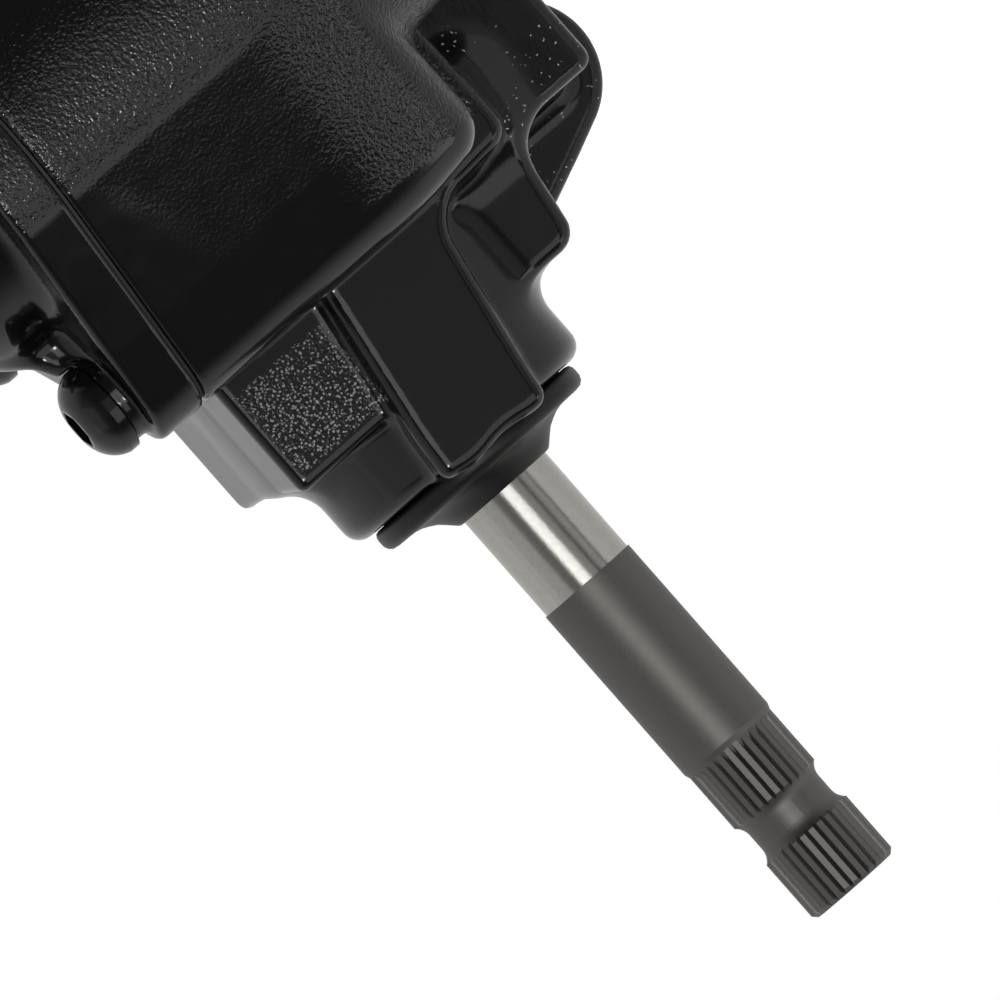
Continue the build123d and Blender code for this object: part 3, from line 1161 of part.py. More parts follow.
def input_shaft():
    """The input shaft, with the valve spool and stop tang at its inner end."""
    shaft = x_cylinder(INPUT_RADIUS, SLEEVE_END_X - PAST, GROUND_END_X)
    shaft = shaft + x_cylinder(PLAIN_RADIUS, GROUND_END_X, PLAIN_END_X)
    spool = x_cylinder(SPOOL_RADIUS, SLEEVE_X + FACE_CLEARANCE, SLEEVE_END_X)
    for index in range(SPOOL_SLOTS):
        slot = Box(SLEEVE_LENGTH - 2 * SLOT_END_WALL, SPOOL_SLOT_WIDTH, 2 * SPOOL_SLOT_DEPTH)
        middle = (SLEEVE_X + SLEEVE_END_X) / 2
        turn = 360 * index / SPOOL_SLOTS
        spool = spool - Pos(middle, 0, 0) * Rot(turn, 0, 0) * Pos(0, 0, SPOOL_RADIUS) * slot
    tang = block(SLEEVE_X - TANG_LENGTH, SLEEVE_X + PAST, -TANG_HALF_WIDTH, TANG_HALF_WIDTH,
                 -TANG_HALF_THICKNESS, TANG_HALF_THICKNESS)
    shaft = shaft + spool + tang + shaft_outer_end()
    wide_left = BAR_RIGHT_X - BAR_END_LENGTH
    shaft = shaft - x_cylinder(BAR_BORE_RADIUS, SLEEVE_X - TANG_LENGTH - PAST, wide_left)
    shaft = shaft - x_cylinder(BAR_END_RADIUS + SEAT_CLEARANCE, wide_left - PAST, BAR_RIGHT_X + PAST)
    return shaft - bar_pin_bar(BAR_PIN_RADIUS + SEAT_CLEARANCE)


def bar_pin_bar(radius):
    """A bar at the torsion pin's place, through the shaft."""
    x = BAR_RIGHT_X - BAR_END_LENGTH / 2
    reach = PLAIN_RADIUS - BAR_PIN_SINK
    return z_cylinder(radius, -reach, reach, x, 0)


def torsion_bar():
    """The torsion bar, thin between its two thick ends."""
    bar = x_cylinder(BAR_RADIUS, BAR_LEFT_X, BAR_RIGHT_X)
    bar = bar + x_cylinder(BAR_END_RADIUS, BAR_LEFT_X + BAR_ROOT_LENGTH, BAR_LEFT_X + BAR_END_LENGTH)
    bar = bar + x_cylinder(BAR_END_RADIUS, BAR_RIGHT_X - BAR_END_LENGTH, BAR_RIGHT_X)
    return bar - bar_pin_bar(BAR_PIN_RADIUS + SEAT_CLEARANCE)


def dust_boot():
    """The rubber boot that grips the shaft and shields the neck."""
    outer = [
        (BOOT_LEFT_X, BOOT_LIP_RADIUS - BOOT_WALL),
        (BOOT_LEFT_X, BOOT_LIP_RADIUS - BOOT_LIP_EDGE),
        (BOOT_LEFT_X + BOOT_LIP_EDGE, BOOT_LIP_RADIUS),
        (BOOT_LIP_END_X - BOOT_LIP_EDGE, BOOT_LIP_RADIUS),
        (BOOT_LIP_END_X, BOOT_LIP_RADIUS - BOOT_LIP_EDGE),
        (BOOT_LIP_END_X + BOOT_STEP, BOOT_SHOULDER_RADIUS),
        (BOOT_LIP_END_X + BOOT_CONE_X, BOOT_CONE_RADIUS),
        (BOOT_END_X, BOOT_END_RADIUS),
        (BOOT_END_X, INPUT_RADIUS),
        (BOOT_END_X - BOOT_GRIP, INPUT_RADIUS),
        (BOOT_LIP_END_X - BOOT_WALL, BOOT_SHOULDER_RADIUS - BOOT_WALL / 2),
        (BOOT_LIP_END_X - BOOT_WALL, BOOT_LIP_RADIUS - BOOT_WALL),
    ]
    return x_turned(outer)


def end_plug():
    """The plug that closes the piston bore."""
    plug = x_cylinder(PISTON_BORE_RADIUS - SEAT_CLEARANCE, END_PLUG_OUTER_X, BORE_LEFT_X)
    plug = chamfer(plug.edges().filter_by(GeomType.CIRCLE), TURNED_EDGE)
    left = (END_PLUG_OUTER_X + BORE_LEFT_X - END_SEAL_SECTION) / 2
    inner = PISTON_BORE_RADIUS - END_SEAL_SECTION
    plug = plug - x_tube(PISTON_BORE_RADIUS + PAST, inner, left, left + END_SEAL_SECTION)
    dimple_end = END_PLUG_OUTER_X + PLUG_DIMPLE_DEPTH
    return plug - x_cylinder(PLUG_DIMPLE_RADIUS, END_PLUG_OUTER_X - PAST, dimple_end)


def end_plug_seal():
    """The ring seal around the end plug."""
    left = (END_PLUG_OUTER_X + BORE_LEFT_X - END_SEAL_SECTION) / 2
    return x_tube(PISTON_BORE_RADIUS - SEAT_CLEARANCE, PISTON_BORE_RADIUS - END_SEAL_SECTION, left,
                  left + END_SEAL_SECTION)


def end_retaining_ring():
    """The snap ring outside the end plug."""
    outer = PISTON_BORE_RADIUS + END_RING_DEPTH
    ring = open_ring(outer, outer - END_RING_WIDTH, END_RING_THICKNESS, END_RING_MOUTH)
    return Pos(END_PLUG_OUTER_X - END_RING_THICKNESS / 2, 0, 0) * Rot(0, 90, 0) * ring


def port_seats():
    """The brass seats pressed into the bottoms of the ports."""
    seats = []
    for index in range(2):
        base = Pos(0, 0, -PORT_DEPTH - SEAT_HEIGHT / 2)
        seat = base * Cone(SEAT_RADIUS, SEAT_TOP_RADIUS, SEAT_HEIGHT)
        seats.append(port_place(index) * (seat - base * Cylinder(SEAT_BORE_RADIUS, SEAT_HEIGHT + PAST)))
    return seats


def write(name, shape):
    """Write one piece, or a group of like pieces, in its final place."""
    pieces = shape if isinstance(shape, list) else [shape]
    solids = [solid for piece in pieces for solid in (PLACE * piece).solids()]
    export_step(Compound(children=solids), f"parts/{name}.step")


PIECES = {
    "housing": housing,
    "side_cover": side_cover,
    "cover_gasket": cover_gasket,
    "cover_screws": cover_screws,
    "cover_bush": cover_bush,
    "adjuster_screw": adjuster_screw,
    "adjuster_locknut": adjuster_locknut,
    "sector_shaft": sector_shaft,
    "lock_washer": lock_washer,
    "output_nut": output_nut,
    "output_bearing_cup": bearing_cup,
    "output_rollers": output_rollers,
    "output_seal": output_seal,
    "backup_washer": backup_washer,
    "output_retaining_ring": output_retaining_ring,
    "output_dust_seal": output_dust_seal,
    "rack_piston": rack_piston,
    "piston_plug": piston_plug,
    "piston_ring": piston_ring,
    "ring_expander": ring_expander,
    "balls": balls,
    "ball_guides": ball_guides,
    "guide_clamp": guide_clamp,
    "clamp_screws": clamp_screws,
    "worm": worm,
    "valve_sleeve": valve_sleeve,
    "sleeve_rings": sleeve_rings,
    "sleeve_pin": lambda: sleeve_pin_bar(SLEEVE_PIN_RADIUS),
    "lower_thrust_race": lambda: x_tube(RACE_RADIUS, RACE_BORE_RADIUS, VALVE_FLOOR_X, LOWER_RACE_END_X),
    "lower_thrust_needles": lambda: thrust_needles(LOWER_RACE_END_X),
    "upper_thrust_needles": lambda: thrust_needles(SLEEVE_END_X),
    "upper_thrust_race": lambda: x_tube(RACE_RADIUS, RACE_BORE_RADIUS, UPPER_RACE_X, RETAINER_X),
    "bearing_retainer": bearing_retainer,
    "retainer_seal": retainer_seal,
    "input_bearing": input_bearing,
    "input_seal": input_seal,
    "input_shaft": input_shaft,
    "torsion_bar": torsion_bar,
    "torsion_pin": lambda: bar_pin_bar(BAR_PIN_RADIUS),
    "dust_boot": dust_boot,
    "end_plug": end_plug,
    "end_plug_seal": end_plug_seal,
    "end_retaining_ring": end_retaining_ring,
    "port_seats": port_seats,
}

os.makedirs("parts", exist_ok=True)
for node, make in PIECES.items():
    write(node, make())
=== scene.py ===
import json
import logging
import math
from dataclasses import dataclass, field
from enum import Enum
from typing import Iterable, Sequence

import bpy
import numpy as np
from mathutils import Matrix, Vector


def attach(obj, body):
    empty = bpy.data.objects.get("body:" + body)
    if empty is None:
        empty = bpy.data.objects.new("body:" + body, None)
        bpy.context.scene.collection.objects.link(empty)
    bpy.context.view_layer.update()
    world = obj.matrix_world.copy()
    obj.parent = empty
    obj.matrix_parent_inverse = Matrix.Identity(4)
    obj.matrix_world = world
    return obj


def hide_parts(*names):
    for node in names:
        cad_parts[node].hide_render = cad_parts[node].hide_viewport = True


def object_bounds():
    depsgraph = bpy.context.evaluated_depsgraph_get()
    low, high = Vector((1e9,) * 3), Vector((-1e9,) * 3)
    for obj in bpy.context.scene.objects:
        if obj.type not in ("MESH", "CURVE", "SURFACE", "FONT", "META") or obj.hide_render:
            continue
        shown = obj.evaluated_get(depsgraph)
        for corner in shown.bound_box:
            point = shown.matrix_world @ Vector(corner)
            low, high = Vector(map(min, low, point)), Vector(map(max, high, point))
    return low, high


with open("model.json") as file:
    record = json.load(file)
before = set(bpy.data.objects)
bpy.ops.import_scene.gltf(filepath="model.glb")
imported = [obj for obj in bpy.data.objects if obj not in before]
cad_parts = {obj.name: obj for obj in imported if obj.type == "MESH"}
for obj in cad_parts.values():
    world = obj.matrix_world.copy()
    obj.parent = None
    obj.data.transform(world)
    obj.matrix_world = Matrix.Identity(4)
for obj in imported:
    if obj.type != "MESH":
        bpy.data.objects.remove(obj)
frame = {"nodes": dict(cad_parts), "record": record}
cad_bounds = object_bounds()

import openvdb
from mathutils import Matrix, Vector

logging.basicConfig(level=logging.INFO, format="%(message)s")
log = logging.getLogger("steering_gearbox")

MM = 0.001
PHOTO_PIXELS = 1000
SENSOR_MM = 36.0

# The worm axis in the row frame, in millimetres: the castings' own sizes are measured from it
WORM_Y = 50.0
WORM_Z = 21.0
SECTOR_Y = 50.5
MOUNT_FACE_Y = -50.0

# Visual bores are this much wider than the solids', so that a faceted wall never touches what runs in it
BORE_ROOM = 0.15

Array = np.ndarray
Socket = bpy.types.NodeSocket
Tree = bpy.types.NodeTree
Pair = tuple[float, float]
Triple = tuple[float, float, float]
Rounds = tuple[Triple, ...]


def srgb(code: str) -> tuple[float, float, float, float]:
    """Turn an sRGB hex colour into linear RGBA.

    Args:
        code: Six hex digits, such as "1a1a1c".

    Returns:
        The linear colour with an alpha of 1.
    """
    parts = [int(code[i:i + 2], 16) / 255 for i in (0, 2, 4)]
    linear = [p / 12.92 if p <= 0.04045 else ((p + 0.055) / 1.055) ** 2.4 for p in parts]
    return (*linear, 1.0)


def per_mm(size_mm: float) -> float:
    """The scale of a pattern whose features are this many millimetres wide."""
    return 1 / (size_mm * MM)


def add_node(tree: Tree, kind: str, links: dict | None = None, **settings: object) -> bpy.types.Node:
    """Add one node with its settings, its socket values and its links.

    A Mix node's sockets go by number: 0 is its factor, 2 and 3 mix its numbers and 6 and 7 its colours.

    Args:
        tree: The node tree.
        kind: The node's type name, without the ShaderNode prefix.
        links: Input name or index to a value or to an output socket.
        settings: Attributes to set on the node.

    Returns:
        The new node.
    """
    node = tree.nodes.new("ShaderNode" + kind)
    for name, value in settings.items():
        setattr(node, name, value)
    for name, value in (links or {}).items():
        if isinstance(value, bpy.types.NodeSocket):
            tree.links.new(value, node.inputs[name])
        else:
            node.inputs[name].default_value = value
    return node


@dataclass(frozen=True)
class Finish:
    """A surface finish: what the material is and how its surface was made.

    Attributes:
        name: The material's name, which says what it is.
        colour: sRGB hex colour.
        metallic: 1 for bare metal.
        roughness: Surface roughness.
        ior: Index of refraction, left at the default on metals.
        mottle: Colour variation between patches, as a share.
        mottle_mm: Size of the patches.
        bump_mm: Height of the fine texture.
        grain_mm: Size of the fine texture's grains.
        wear: Roughness variation.
    """

    name: str
    colour: str
    metallic: float = 0.0
    roughness: float = 0.4
    ior: float = 1.5
    mottle: float = 0.1
    mottle_mm: float = 6.0
    bump_mm: float = 0.01
    grain_mm: float = 0.8
    wear: float = 0.06

    def build(self) -> bpy.types.Material:
        """Make the material with its procedural texture.

        Returns:
            The new material.
        """
        material = bpy.data.materials.new(self.name)
        material.use_nodes = True
        tree = material.node_tree
        shader = tree.nodes["Principled BSDF"]
        place = add_node(tree, "TexCoord").outputs["Object"]
        patches = add_node(tree, "TexNoise", {"Vector": place, "Scale": per_mm(self.mottle_mm),
                                              "Detail": 4.0, "Roughness": 0.6}).outputs["Fac"]
        shade = add_node(tree, "MapRange", {"Value": patches, "To Min": 1 - self.mottle,
                                            "To Max": 1 + self.mottle})
        tint = add_node(tree, "VectorMath", {0: self.tone(tree, place), 1: shade.outputs["Result"]},
                        operation="MULTIPLY")
        tree.links.new(tint.outputs["Vector"], shader.inputs["Base Color"])
        tree.links.new(self.polish(tree, place, patches), shader.inputs["Roughness"])
        shader.inputs["Metallic"].default_value = self.metallic
        shader.inputs["IOR"].default_value = self.ior
        self.relief(tree, shader, place)
        return material

    def tone(self, tree: Tree, place: Socket) -> Socket | Triple:
        """The base colour, before its patches."""
        return srgb(self.colour)[:3]

    def polish(self, tree: Tree, place: Socket, patches: Socket) -> Socket:
        """The roughness, which changes a little from patch to patch."""
        rough = add_node(tree, "MapRange", {"Value": patches, "To Min": self.roughness - self.wear,
                                            "To Max": self.roughness + self.wear})
        return rough.outputs["Result"]

    def relief(self, tree: Tree, shader: bpy.types.Node, place: Socket) -> None:
        """Give the shader its fine bump.

        Args:
            tree: The material's node tree.
            shader: The Principled node.
            place: The position in metres.
        """
        grain = add_node(tree, "TexNoise", {"Vector": place, "Scale": per_mm(self.grain_mm), "Detail": 2.0})
        self.raise_skin(tree, shader, grain.outputs["Fac"], self.bump_mm)

    def raise_skin(self, tree: Tree, shader: bpy.types.Node, height: Socket, height_mm: float) -> None:
        """Bump the shader's surface by a pattern.

        Args:
            tree: The material's node tree.
            shader: The Principled node.
            height: The pattern.
            height_mm: How high its value of 1 stands.
        """
        bump = add_node(tree, "Bump", {"Height": height, "Strength": 1.0, "Distance": height_mm * MM})
        tree.links.new(bump.outputs["Normal"], shader.inputs["Normal"])


class Mark(Enum):
    """The attributes on a casting's points that tell its paint what lies under it."""

    GRAIN = "grain"
    # Pale spots painted in as highlights, standing in for glints off the cast bumps
    GLINT_SPOTS = "glint_spots"
    # The pips are real bumps; their pale tops are painted highlights
    PIPS = "pips"


@dataclass(frozen=True)
class CastPaint(Finish):
    """Glossy black paint over a sand-cast skin: the skin's grain shows through as an orange peel.

    Attributes:
        peel_mm: Size of the orange peel's bumps.
        peel_height_mm: Height of the bumps where the casting's skin is rough.
        smooth_share: Share of that height on the dressed faces.
        ripple_mm: Size of the slow ripples in the paint's surface, and of the clusters of glint spots.
        ripple_share: Height of the ripples, as a share of the peel's.
        painted_glint_colour: sRGB hex colour of small pale spots in the paint: painted highlights that
            stand in for glints off the casting's bumps.
        glint_spot_mm: Spacing of the glint spots.
        glint_spot_size: Their radius, as a share of the spacing.
        glint_spot_height_mm: Their height, as a low bump.
        cluster_from: Value of the clusters' noise at which the glint spots begin.
        cluster_full: Value at which they are all there.
        painted_pip_highlight: sRGB hex colour painted on the tops of a stippled pad's pips, as a painted
            highlight.
        pip_mm: Spacing of the pips.
        pip_size: Their radius, as a share of the spacing.
        pip_height_mm: Their height.
        spot_bend: How far the glint spots and the pips are bent out of round, as a share of their spacing.
        spot_core: Share of a spot's radius inside which it is at its full height.
    """

    peel_mm: float = 0.7
    peel_height_mm: float = 0.2
    smooth_share: float = 0.02
    ripple_mm: float = 9.0
    ripple_share: float = 0.35
    # Pale colour painted on small spots as painted highlights, standing in for glints off the casting's
    # bumps
    painted_glint_colour: str = "a4a4a2"
    glint_spot_mm: float = 1.5
    glint_spot_size: float = 0.17
    glint_spot_height_mm: float = 0.05
    cluster_from: float = 0.46
    cluster_full: float = 0.56
    # The pip tops are painted lighter as a painted highlight, where real pips would catch the light
    painted_pip_highlight: str = "868686"
    pip_mm: float = 0.68
    pip_size: float = 0.42
    pip_height_mm: float = 0.12
    spot_bend: float = 0.6
    spot_core: float = 0.6

    def spots(self, tree: Tree, place: Socket, pitch_mm: float, size: float, mark: Mark) -> Socket:
        """1 on uneven spots and 0 between them, where the casting has the mark.

        Args:
            tree: The material's node tree.
            place: The position in metres.
            pitch_mm: Spacing of the spots.
            size: Their radius, as a share of the spacing.
            mark: The casting's attribute that says where the spots are.

        Returns:
            The socket that carries the spots.
        """
        push = add_node(tree, "TexNoise", {"Vector": place, "Scale": 2 * per_mm(pitch_mm), "Detail": 0.0})
        bend = self.spot_bend * pitch_mm * MM
        bent = add_node(tree, "VectorMath", {0: push.outputs["Color"], 1: (bend, bend, bend), 2: place},
                        operation="MULTIPLY_ADD")
        cells = add_node(tree, "TexVoronoi", {"Vector": bent.outputs["Vector"], "Scale": per_mm(pitch_mm)})
        near = add_node(tree, "MapRange", {"Value": cells.outputs["Distance"], "From Min": size,
                                           "From Max": size * self.spot_core})
        where = add_node(tree, "Attribute", attribute_name=mark.value).outputs["Fac"]
        spots = add_node(tree, "Math", {0: near.outputs["Result"], 1: where}, operation="MULTIPLY")
        return spots.outputs["Value"]

    def pips(self, tree: Tree, place: Socket) -> Socket:
        """1 on a pip of a stippled pad and 0 elsewhere."""
        return self.spots(tree, place, self.pip_mm, self.pip_size, Mark.PIPS)

    def ripples(self, tree: Tree, place: Socket) -> Socket:
        """The slow noise that ripples the paint and gathers its painted glint spots."""
        noise = add_node(tree, "TexNoise", {"Vector": place, "Scale": per_mm(self.ripple_mm),
                                            "Detail": 1.0})
        return noise.outputs["Fac"]

    def painted_glint_spots(self, tree: Tree, place: Socket) -> Socket:
        """1 on a painted glint spot and 0 elsewhere: the spots lie in loose clusters.

        Args:
            tree: The material's node tree.
            place: The position in metres.

        Returns:
            The socket that carries the painted glint spots.
        """
        glint_spots = self.spots(tree, place, self.glint_spot_mm, self.glint_spot_size, Mark.GLINT_SPOTS)
        sown = add_node(tree, "MapRange", {"Value": self.ripples(tree, place),
                                           "From Min": self.cluster_from, "From Max": self.cluster_full})
        painted_glint_spots = add_node(tree, "Math", {0: sown.outputs["Result"], 1: glint_spots}, operation="MULTIPLY")
        return painted_glint_spots.outputs["Value"]

    def tone(self, tree: Tree, place: Socket) -> Socket:
        """The black paint, with painted highlights: pale glint spots, and the pad's pip tops painted
        lighter.

        Args:
            tree: The material's node tree.
            place: The position in metres.

        Returns:
            The socket that carries the colour.
        """
        # Painted highlights: pale glint spots, then the pip tops painted lighter
        glinted = add_node(tree, "Mix", {0: self.painted_glint_spots(tree, place), 6: srgb(self.colour),
                                       7: srgb(self.painted_glint_colour)}, data_type="RGBA")
        tipped = add_node(tree, "Mix", {0: self.pips(tree, place), 6: glinted.outputs[2], 7: srgb(self.painted_pip_highlight)},
                          data_type="RGBA")
        return tipped.outputs[2]

    def relief(self, tree: Tree, shader: bpy.types.Node, place: Socket) -> None:
        """Orange peel, strong where the grain mark says so, over slow ripples, with the low bumps under the
        glint spots and pips.

        Args:
            tree: The material's node tree.
            shader: The Principled node.
            place: The position in metres.
        """
        grain = add_node(tree, "Attribute", attribute_name=Mark.GRAIN.value).outputs["Fac"]
        share = add_node(tree, "Math", {0: grain, 1: self.smooth_share}, operation="ADD").outputs["Value"]
        peel = add_node(tree, "TexNoise", {"Vector": place, "Scale": per_mm(self.peel_mm), "Detail": 1.5,
                                           "Roughness": 0.5})
        rough = add_node(tree, "Math", {0: peel.outputs["Fac"], 1: share}, operation="MULTIPLY")
        layers = ((self.ripples(tree, place), self.ripple_share),
                  (self.painted_glint_spots(tree, place), self.glint_spot_height_mm / self.peel_height_mm),
                  (self.pips(tree, place), self.pip_height_mm / self.peel_height_mm))
        total = rough.outputs["Value"]
        for pattern, part in layers:
            total = add_node(tree, "Math", {0: pattern, 1: part, 2: total},
                             operation="MULTIPLY_ADD").outputs["Value"]
        self.raise_skin(tree, shader, total, self.peel_height_mm)


@dataclass(frozen=True)
class PartGround(Finish):
    """Phosphated steel with one length ground bright, turned around the worm axis.

    Attributes:
        bright: sRGB hex colour of the ground length.
        bright_from_mm: Where the ground length begins, along X.
        bright_to_mm: Where it ends.
        bright_roughness: Its roughness.
        line_mm: Spacing of the turning lines.
        line_drift: How fast the lines change around and across the shaft, per metre.
        line_share: Height of the lines, as a share of the grain's.
    """

    bright: str = "b9b7b1"
    bright_from_mm: float = 80.0
    bright_to_mm: float = 128.0
    bright_roughness: float = 0.17
    line_mm: float = 0.35
    line_drift: float = 12.0
    line_share: float = 0.5

    def share(self, tree: Tree, place: Socket) -> Socket:
        """1 on the ground length and 0 elsewhere.

        Args:
            tree: The material's node tree.
            place: The position in metres.

        Returns:
            The socket that carries the share.
        """
        x = add_node(tree, "SeparateXYZ", {"Vector": place}).outputs["X"]
        middle = (self.bright_from_mm + self.bright_to_mm) / 2
        half = (self.bright_to_mm - self.bright_from_mm) / 2
        away = add_node(tree, "Math", {0: x, 1: middle * MM, 2: half * MM}, operation="COMPARE")
        return away.outputs["Value"]

    def tone(self, tree: Tree, place: Socket) -> Socket:
        """The dark phosphate, and the bright steel on the ground length."""
        mix = add_node(tree, "Mix", {0: self.share(tree, place), 6: srgb(self.colour),
                                     7: srgb(self.bright)}, data_type="RGBA")
        return mix.outputs[2]

    def polish(self, tree: Tree, place: Socket, patches: Socket) -> Socket:
        """Smoother on the ground length."""
        dull = super().polish(tree, place, patches)
        mix = add_node(tree, "Mix", {0: self.share(tree, place), 2: dull, 3: self.bright_roughness})
        return mix.outputs[0]

    def relief(self, tree: Tree, shader: bpy.types.Node, place: Socket) -> None:
        """Turning lines around the axis, and a fine grain.

        Args:
            tree: The material's node tree.
            shader: The Principled node.
            place: The position in metres.
        """
        along = add_node(tree, "VectorMath", {0: place, 1: (per_mm(self.line_mm), self.line_drift,
                                                            self.line_drift)}, operation="MULTIPLY")
        lines = add_node(tree, "TexNoise", {"Vector": along.outputs["Vector"], "Scale": 1.0, "Detail": 2.0})
        grain = add_node(tree, "TexNoise", {"Vector": place, "Scale": per_mm(self.grain_mm), "Detail": 2.0})
        both = add_node(tree, "Math", {0: lines.outputs["Fac"], 1: self.line_share,
                                       2: grain.outputs["Fac"]}, operation="MULTIPLY_ADD")
        self.raise_skin(tree, shader, both.outputs["Value"], self.bump_mm)


class Slot(Enum):
    """The record's material slots."""

    BLACK_PAINT = "black_paint"
    PAINTED_SCREW = "painted_screw"
    PHOSPHATE = "phosphate_steel"
    GROUND = "ground_steel"
    ZINC = "zinc_steel"
    RUBBER = "black_rubber"
    BRASS = "brass"
    PTFE = "ptfe"
    BRONZE = "bronze"
    GASKET = "gasket_paper"


FINISHES: dict[Slot, Finish] = {
    # Solvent paint, IOR 1.5: a dark face with mirror-like lights on every edge
    # Its pale spots on the lobes and pale pip tops on the pad are painted highlights
    Slot.BLACK_PAINT: CastPaint("gloss_black_paint_on_cast_iron", "09090a", roughness=0.13, mottle=0.06,
                                wear=0.03),
    # The same paint over a smooth rolled head, where no peel shows
    Slot.PAINTED_SCREW: CastPaint("gloss_black_paint_on_screw", "09090a", roughness=0.11,
                                  peel_height_mm=0.02, wear=0.03),
    # Manganese phosphate on steel: a warm dull grey with soft lights; the seal's length is ground bright
    Slot.PHOSPHATE: PartGround("phosphated_steel", "6b6966", metallic=1.0, roughness=0.5, mottle=0.12,
                               mottle_mm=0.9, bump_mm=0.012, grain_mm=0.35),
    # Ground bearing steel: bright and clean
    Slot.GROUND: Finish("ground_steel", "b4b1ab", metallic=1.0, roughness=0.28, mottle=0.06),
    # Zinc plate: a cool bright grey
    Slot.ZINC: Finish("zinc_plated_steel", "b4b3ae", metallic=1.0, roughness=0.3),
    # Moulded nitrile rubber: typically IOR 1.52, set lower for its dark edge; black with a soft sheen
    Slot.RUBBER: Finish("nitrile_rubber", "060606", roughness=0.42, ior=1.40, bump_mm=0.006, wear=0.04),
    # Brass: yellow metal
    Slot.BRASS: Finish("machined_brass", "b5924c", metallic=1.0, roughness=0.25),
    # Filled PTFE, IOR 1.35: brown and waxy
    Slot.PTFE: Finish("filled_ptfe", "5b4f44", roughness=0.5, ior=1.35),
    # Sintered bronze: porous, so duller than brass
    Slot.BRONZE: Finish("sintered_bronze", "9c7442", metallic=1.0, roughness=0.4),
    # Gasket fibre: matt and dark
    Slot.GASKET: Finish("gasket_fibre", "1b1b1b", roughness=0.7),
}


class Wardrobe:
    """Builds each finish once and hands it out by slot."""

    def __init__(self) -> None:
        """Start with no material made."""
        self.made: dict[Slot, bpy.types.Material] = {}

    def get(self, slot: Slot) -> bpy.types.Material:
        """The slot's material, made on its first use."""
        if slot not in self.made:
            self.made[slot] = FINISHES[slot].build()
        return self.made[slot]

    def dress(self, piece: bpy.types.Object, slot: Slot) -> None:
        """Give a piece one slot's material and no other."""
        piece.data.materials.clear()
        piece.data.materials.append(self.get(slot))

    def dress_frame(self) -> None:
        """Give each CAD node the material of its own slot."""
        for row in frame["record"]["subparts"]:
            self.dress(frame["nodes"][row["node"]], Slot(row["material_slot"]))

    def fit(self, piece: bpy.types.Object, node: str, body: str, slot: Slot) -> bpy.types.Object:
        """Put a piece in a CAD node's place, riding that node's body.

        Args:
            piece: The visual piece.
            node: The CAD node that it stands for.
            body: The body that it rides on.
            slot: Where it takes its finish from.

        Returns:
            The same piece.
        """
        self.dress(piece, slot)
        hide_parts(node)
        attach(piece, body)
        return piece


def round_union(a: Array, b: Array, radius: float | Array) -> Array:
    """Join two fields with a concave fillet of a given radius."""
    gap = np.sqrt(np.maximum(radius - a, 0) ** 2 + np.maximum(radius - b, 0) ** 2)
    return np.maximum(radius, np.minimum(a, b)) - gap


def round_meet(a: Array, b: Array, radius: float) -> Array:
    """Intersect two fields with a convex round of a given radius."""
    return -round_union(-a, -b, radius)


def ease(value: Array) -> Array:
    """A soft step from 0 to 1 as the value goes from 0 to 1."""
    held = np.clip(value, 0, 1)
    return held * held * (3 - 2 * held)


def join_mesh(points: Array, faces: Sequence, name: str) -> bpy.types.Object:
    """Make a smooth-shaded object.

    Args:
        points: Its points, in worm-frame millimetres.
        faces: Its faces, each a list of point numbers.
        name: Its name.

    Returns:
        The object, linked to the scene.
    """
    data = bpy.data.meshes.new(name)
    data.from_pydata(((points + np.array((0, WORM_Y, WORM_Z))) * MM).tolist(), [], faces)
    data.validate()
    data.shade_smooth()
    piece = bpy.data.objects.new(name, data)
    bpy.context.scene.collection.objects.link(piece)
    return piece


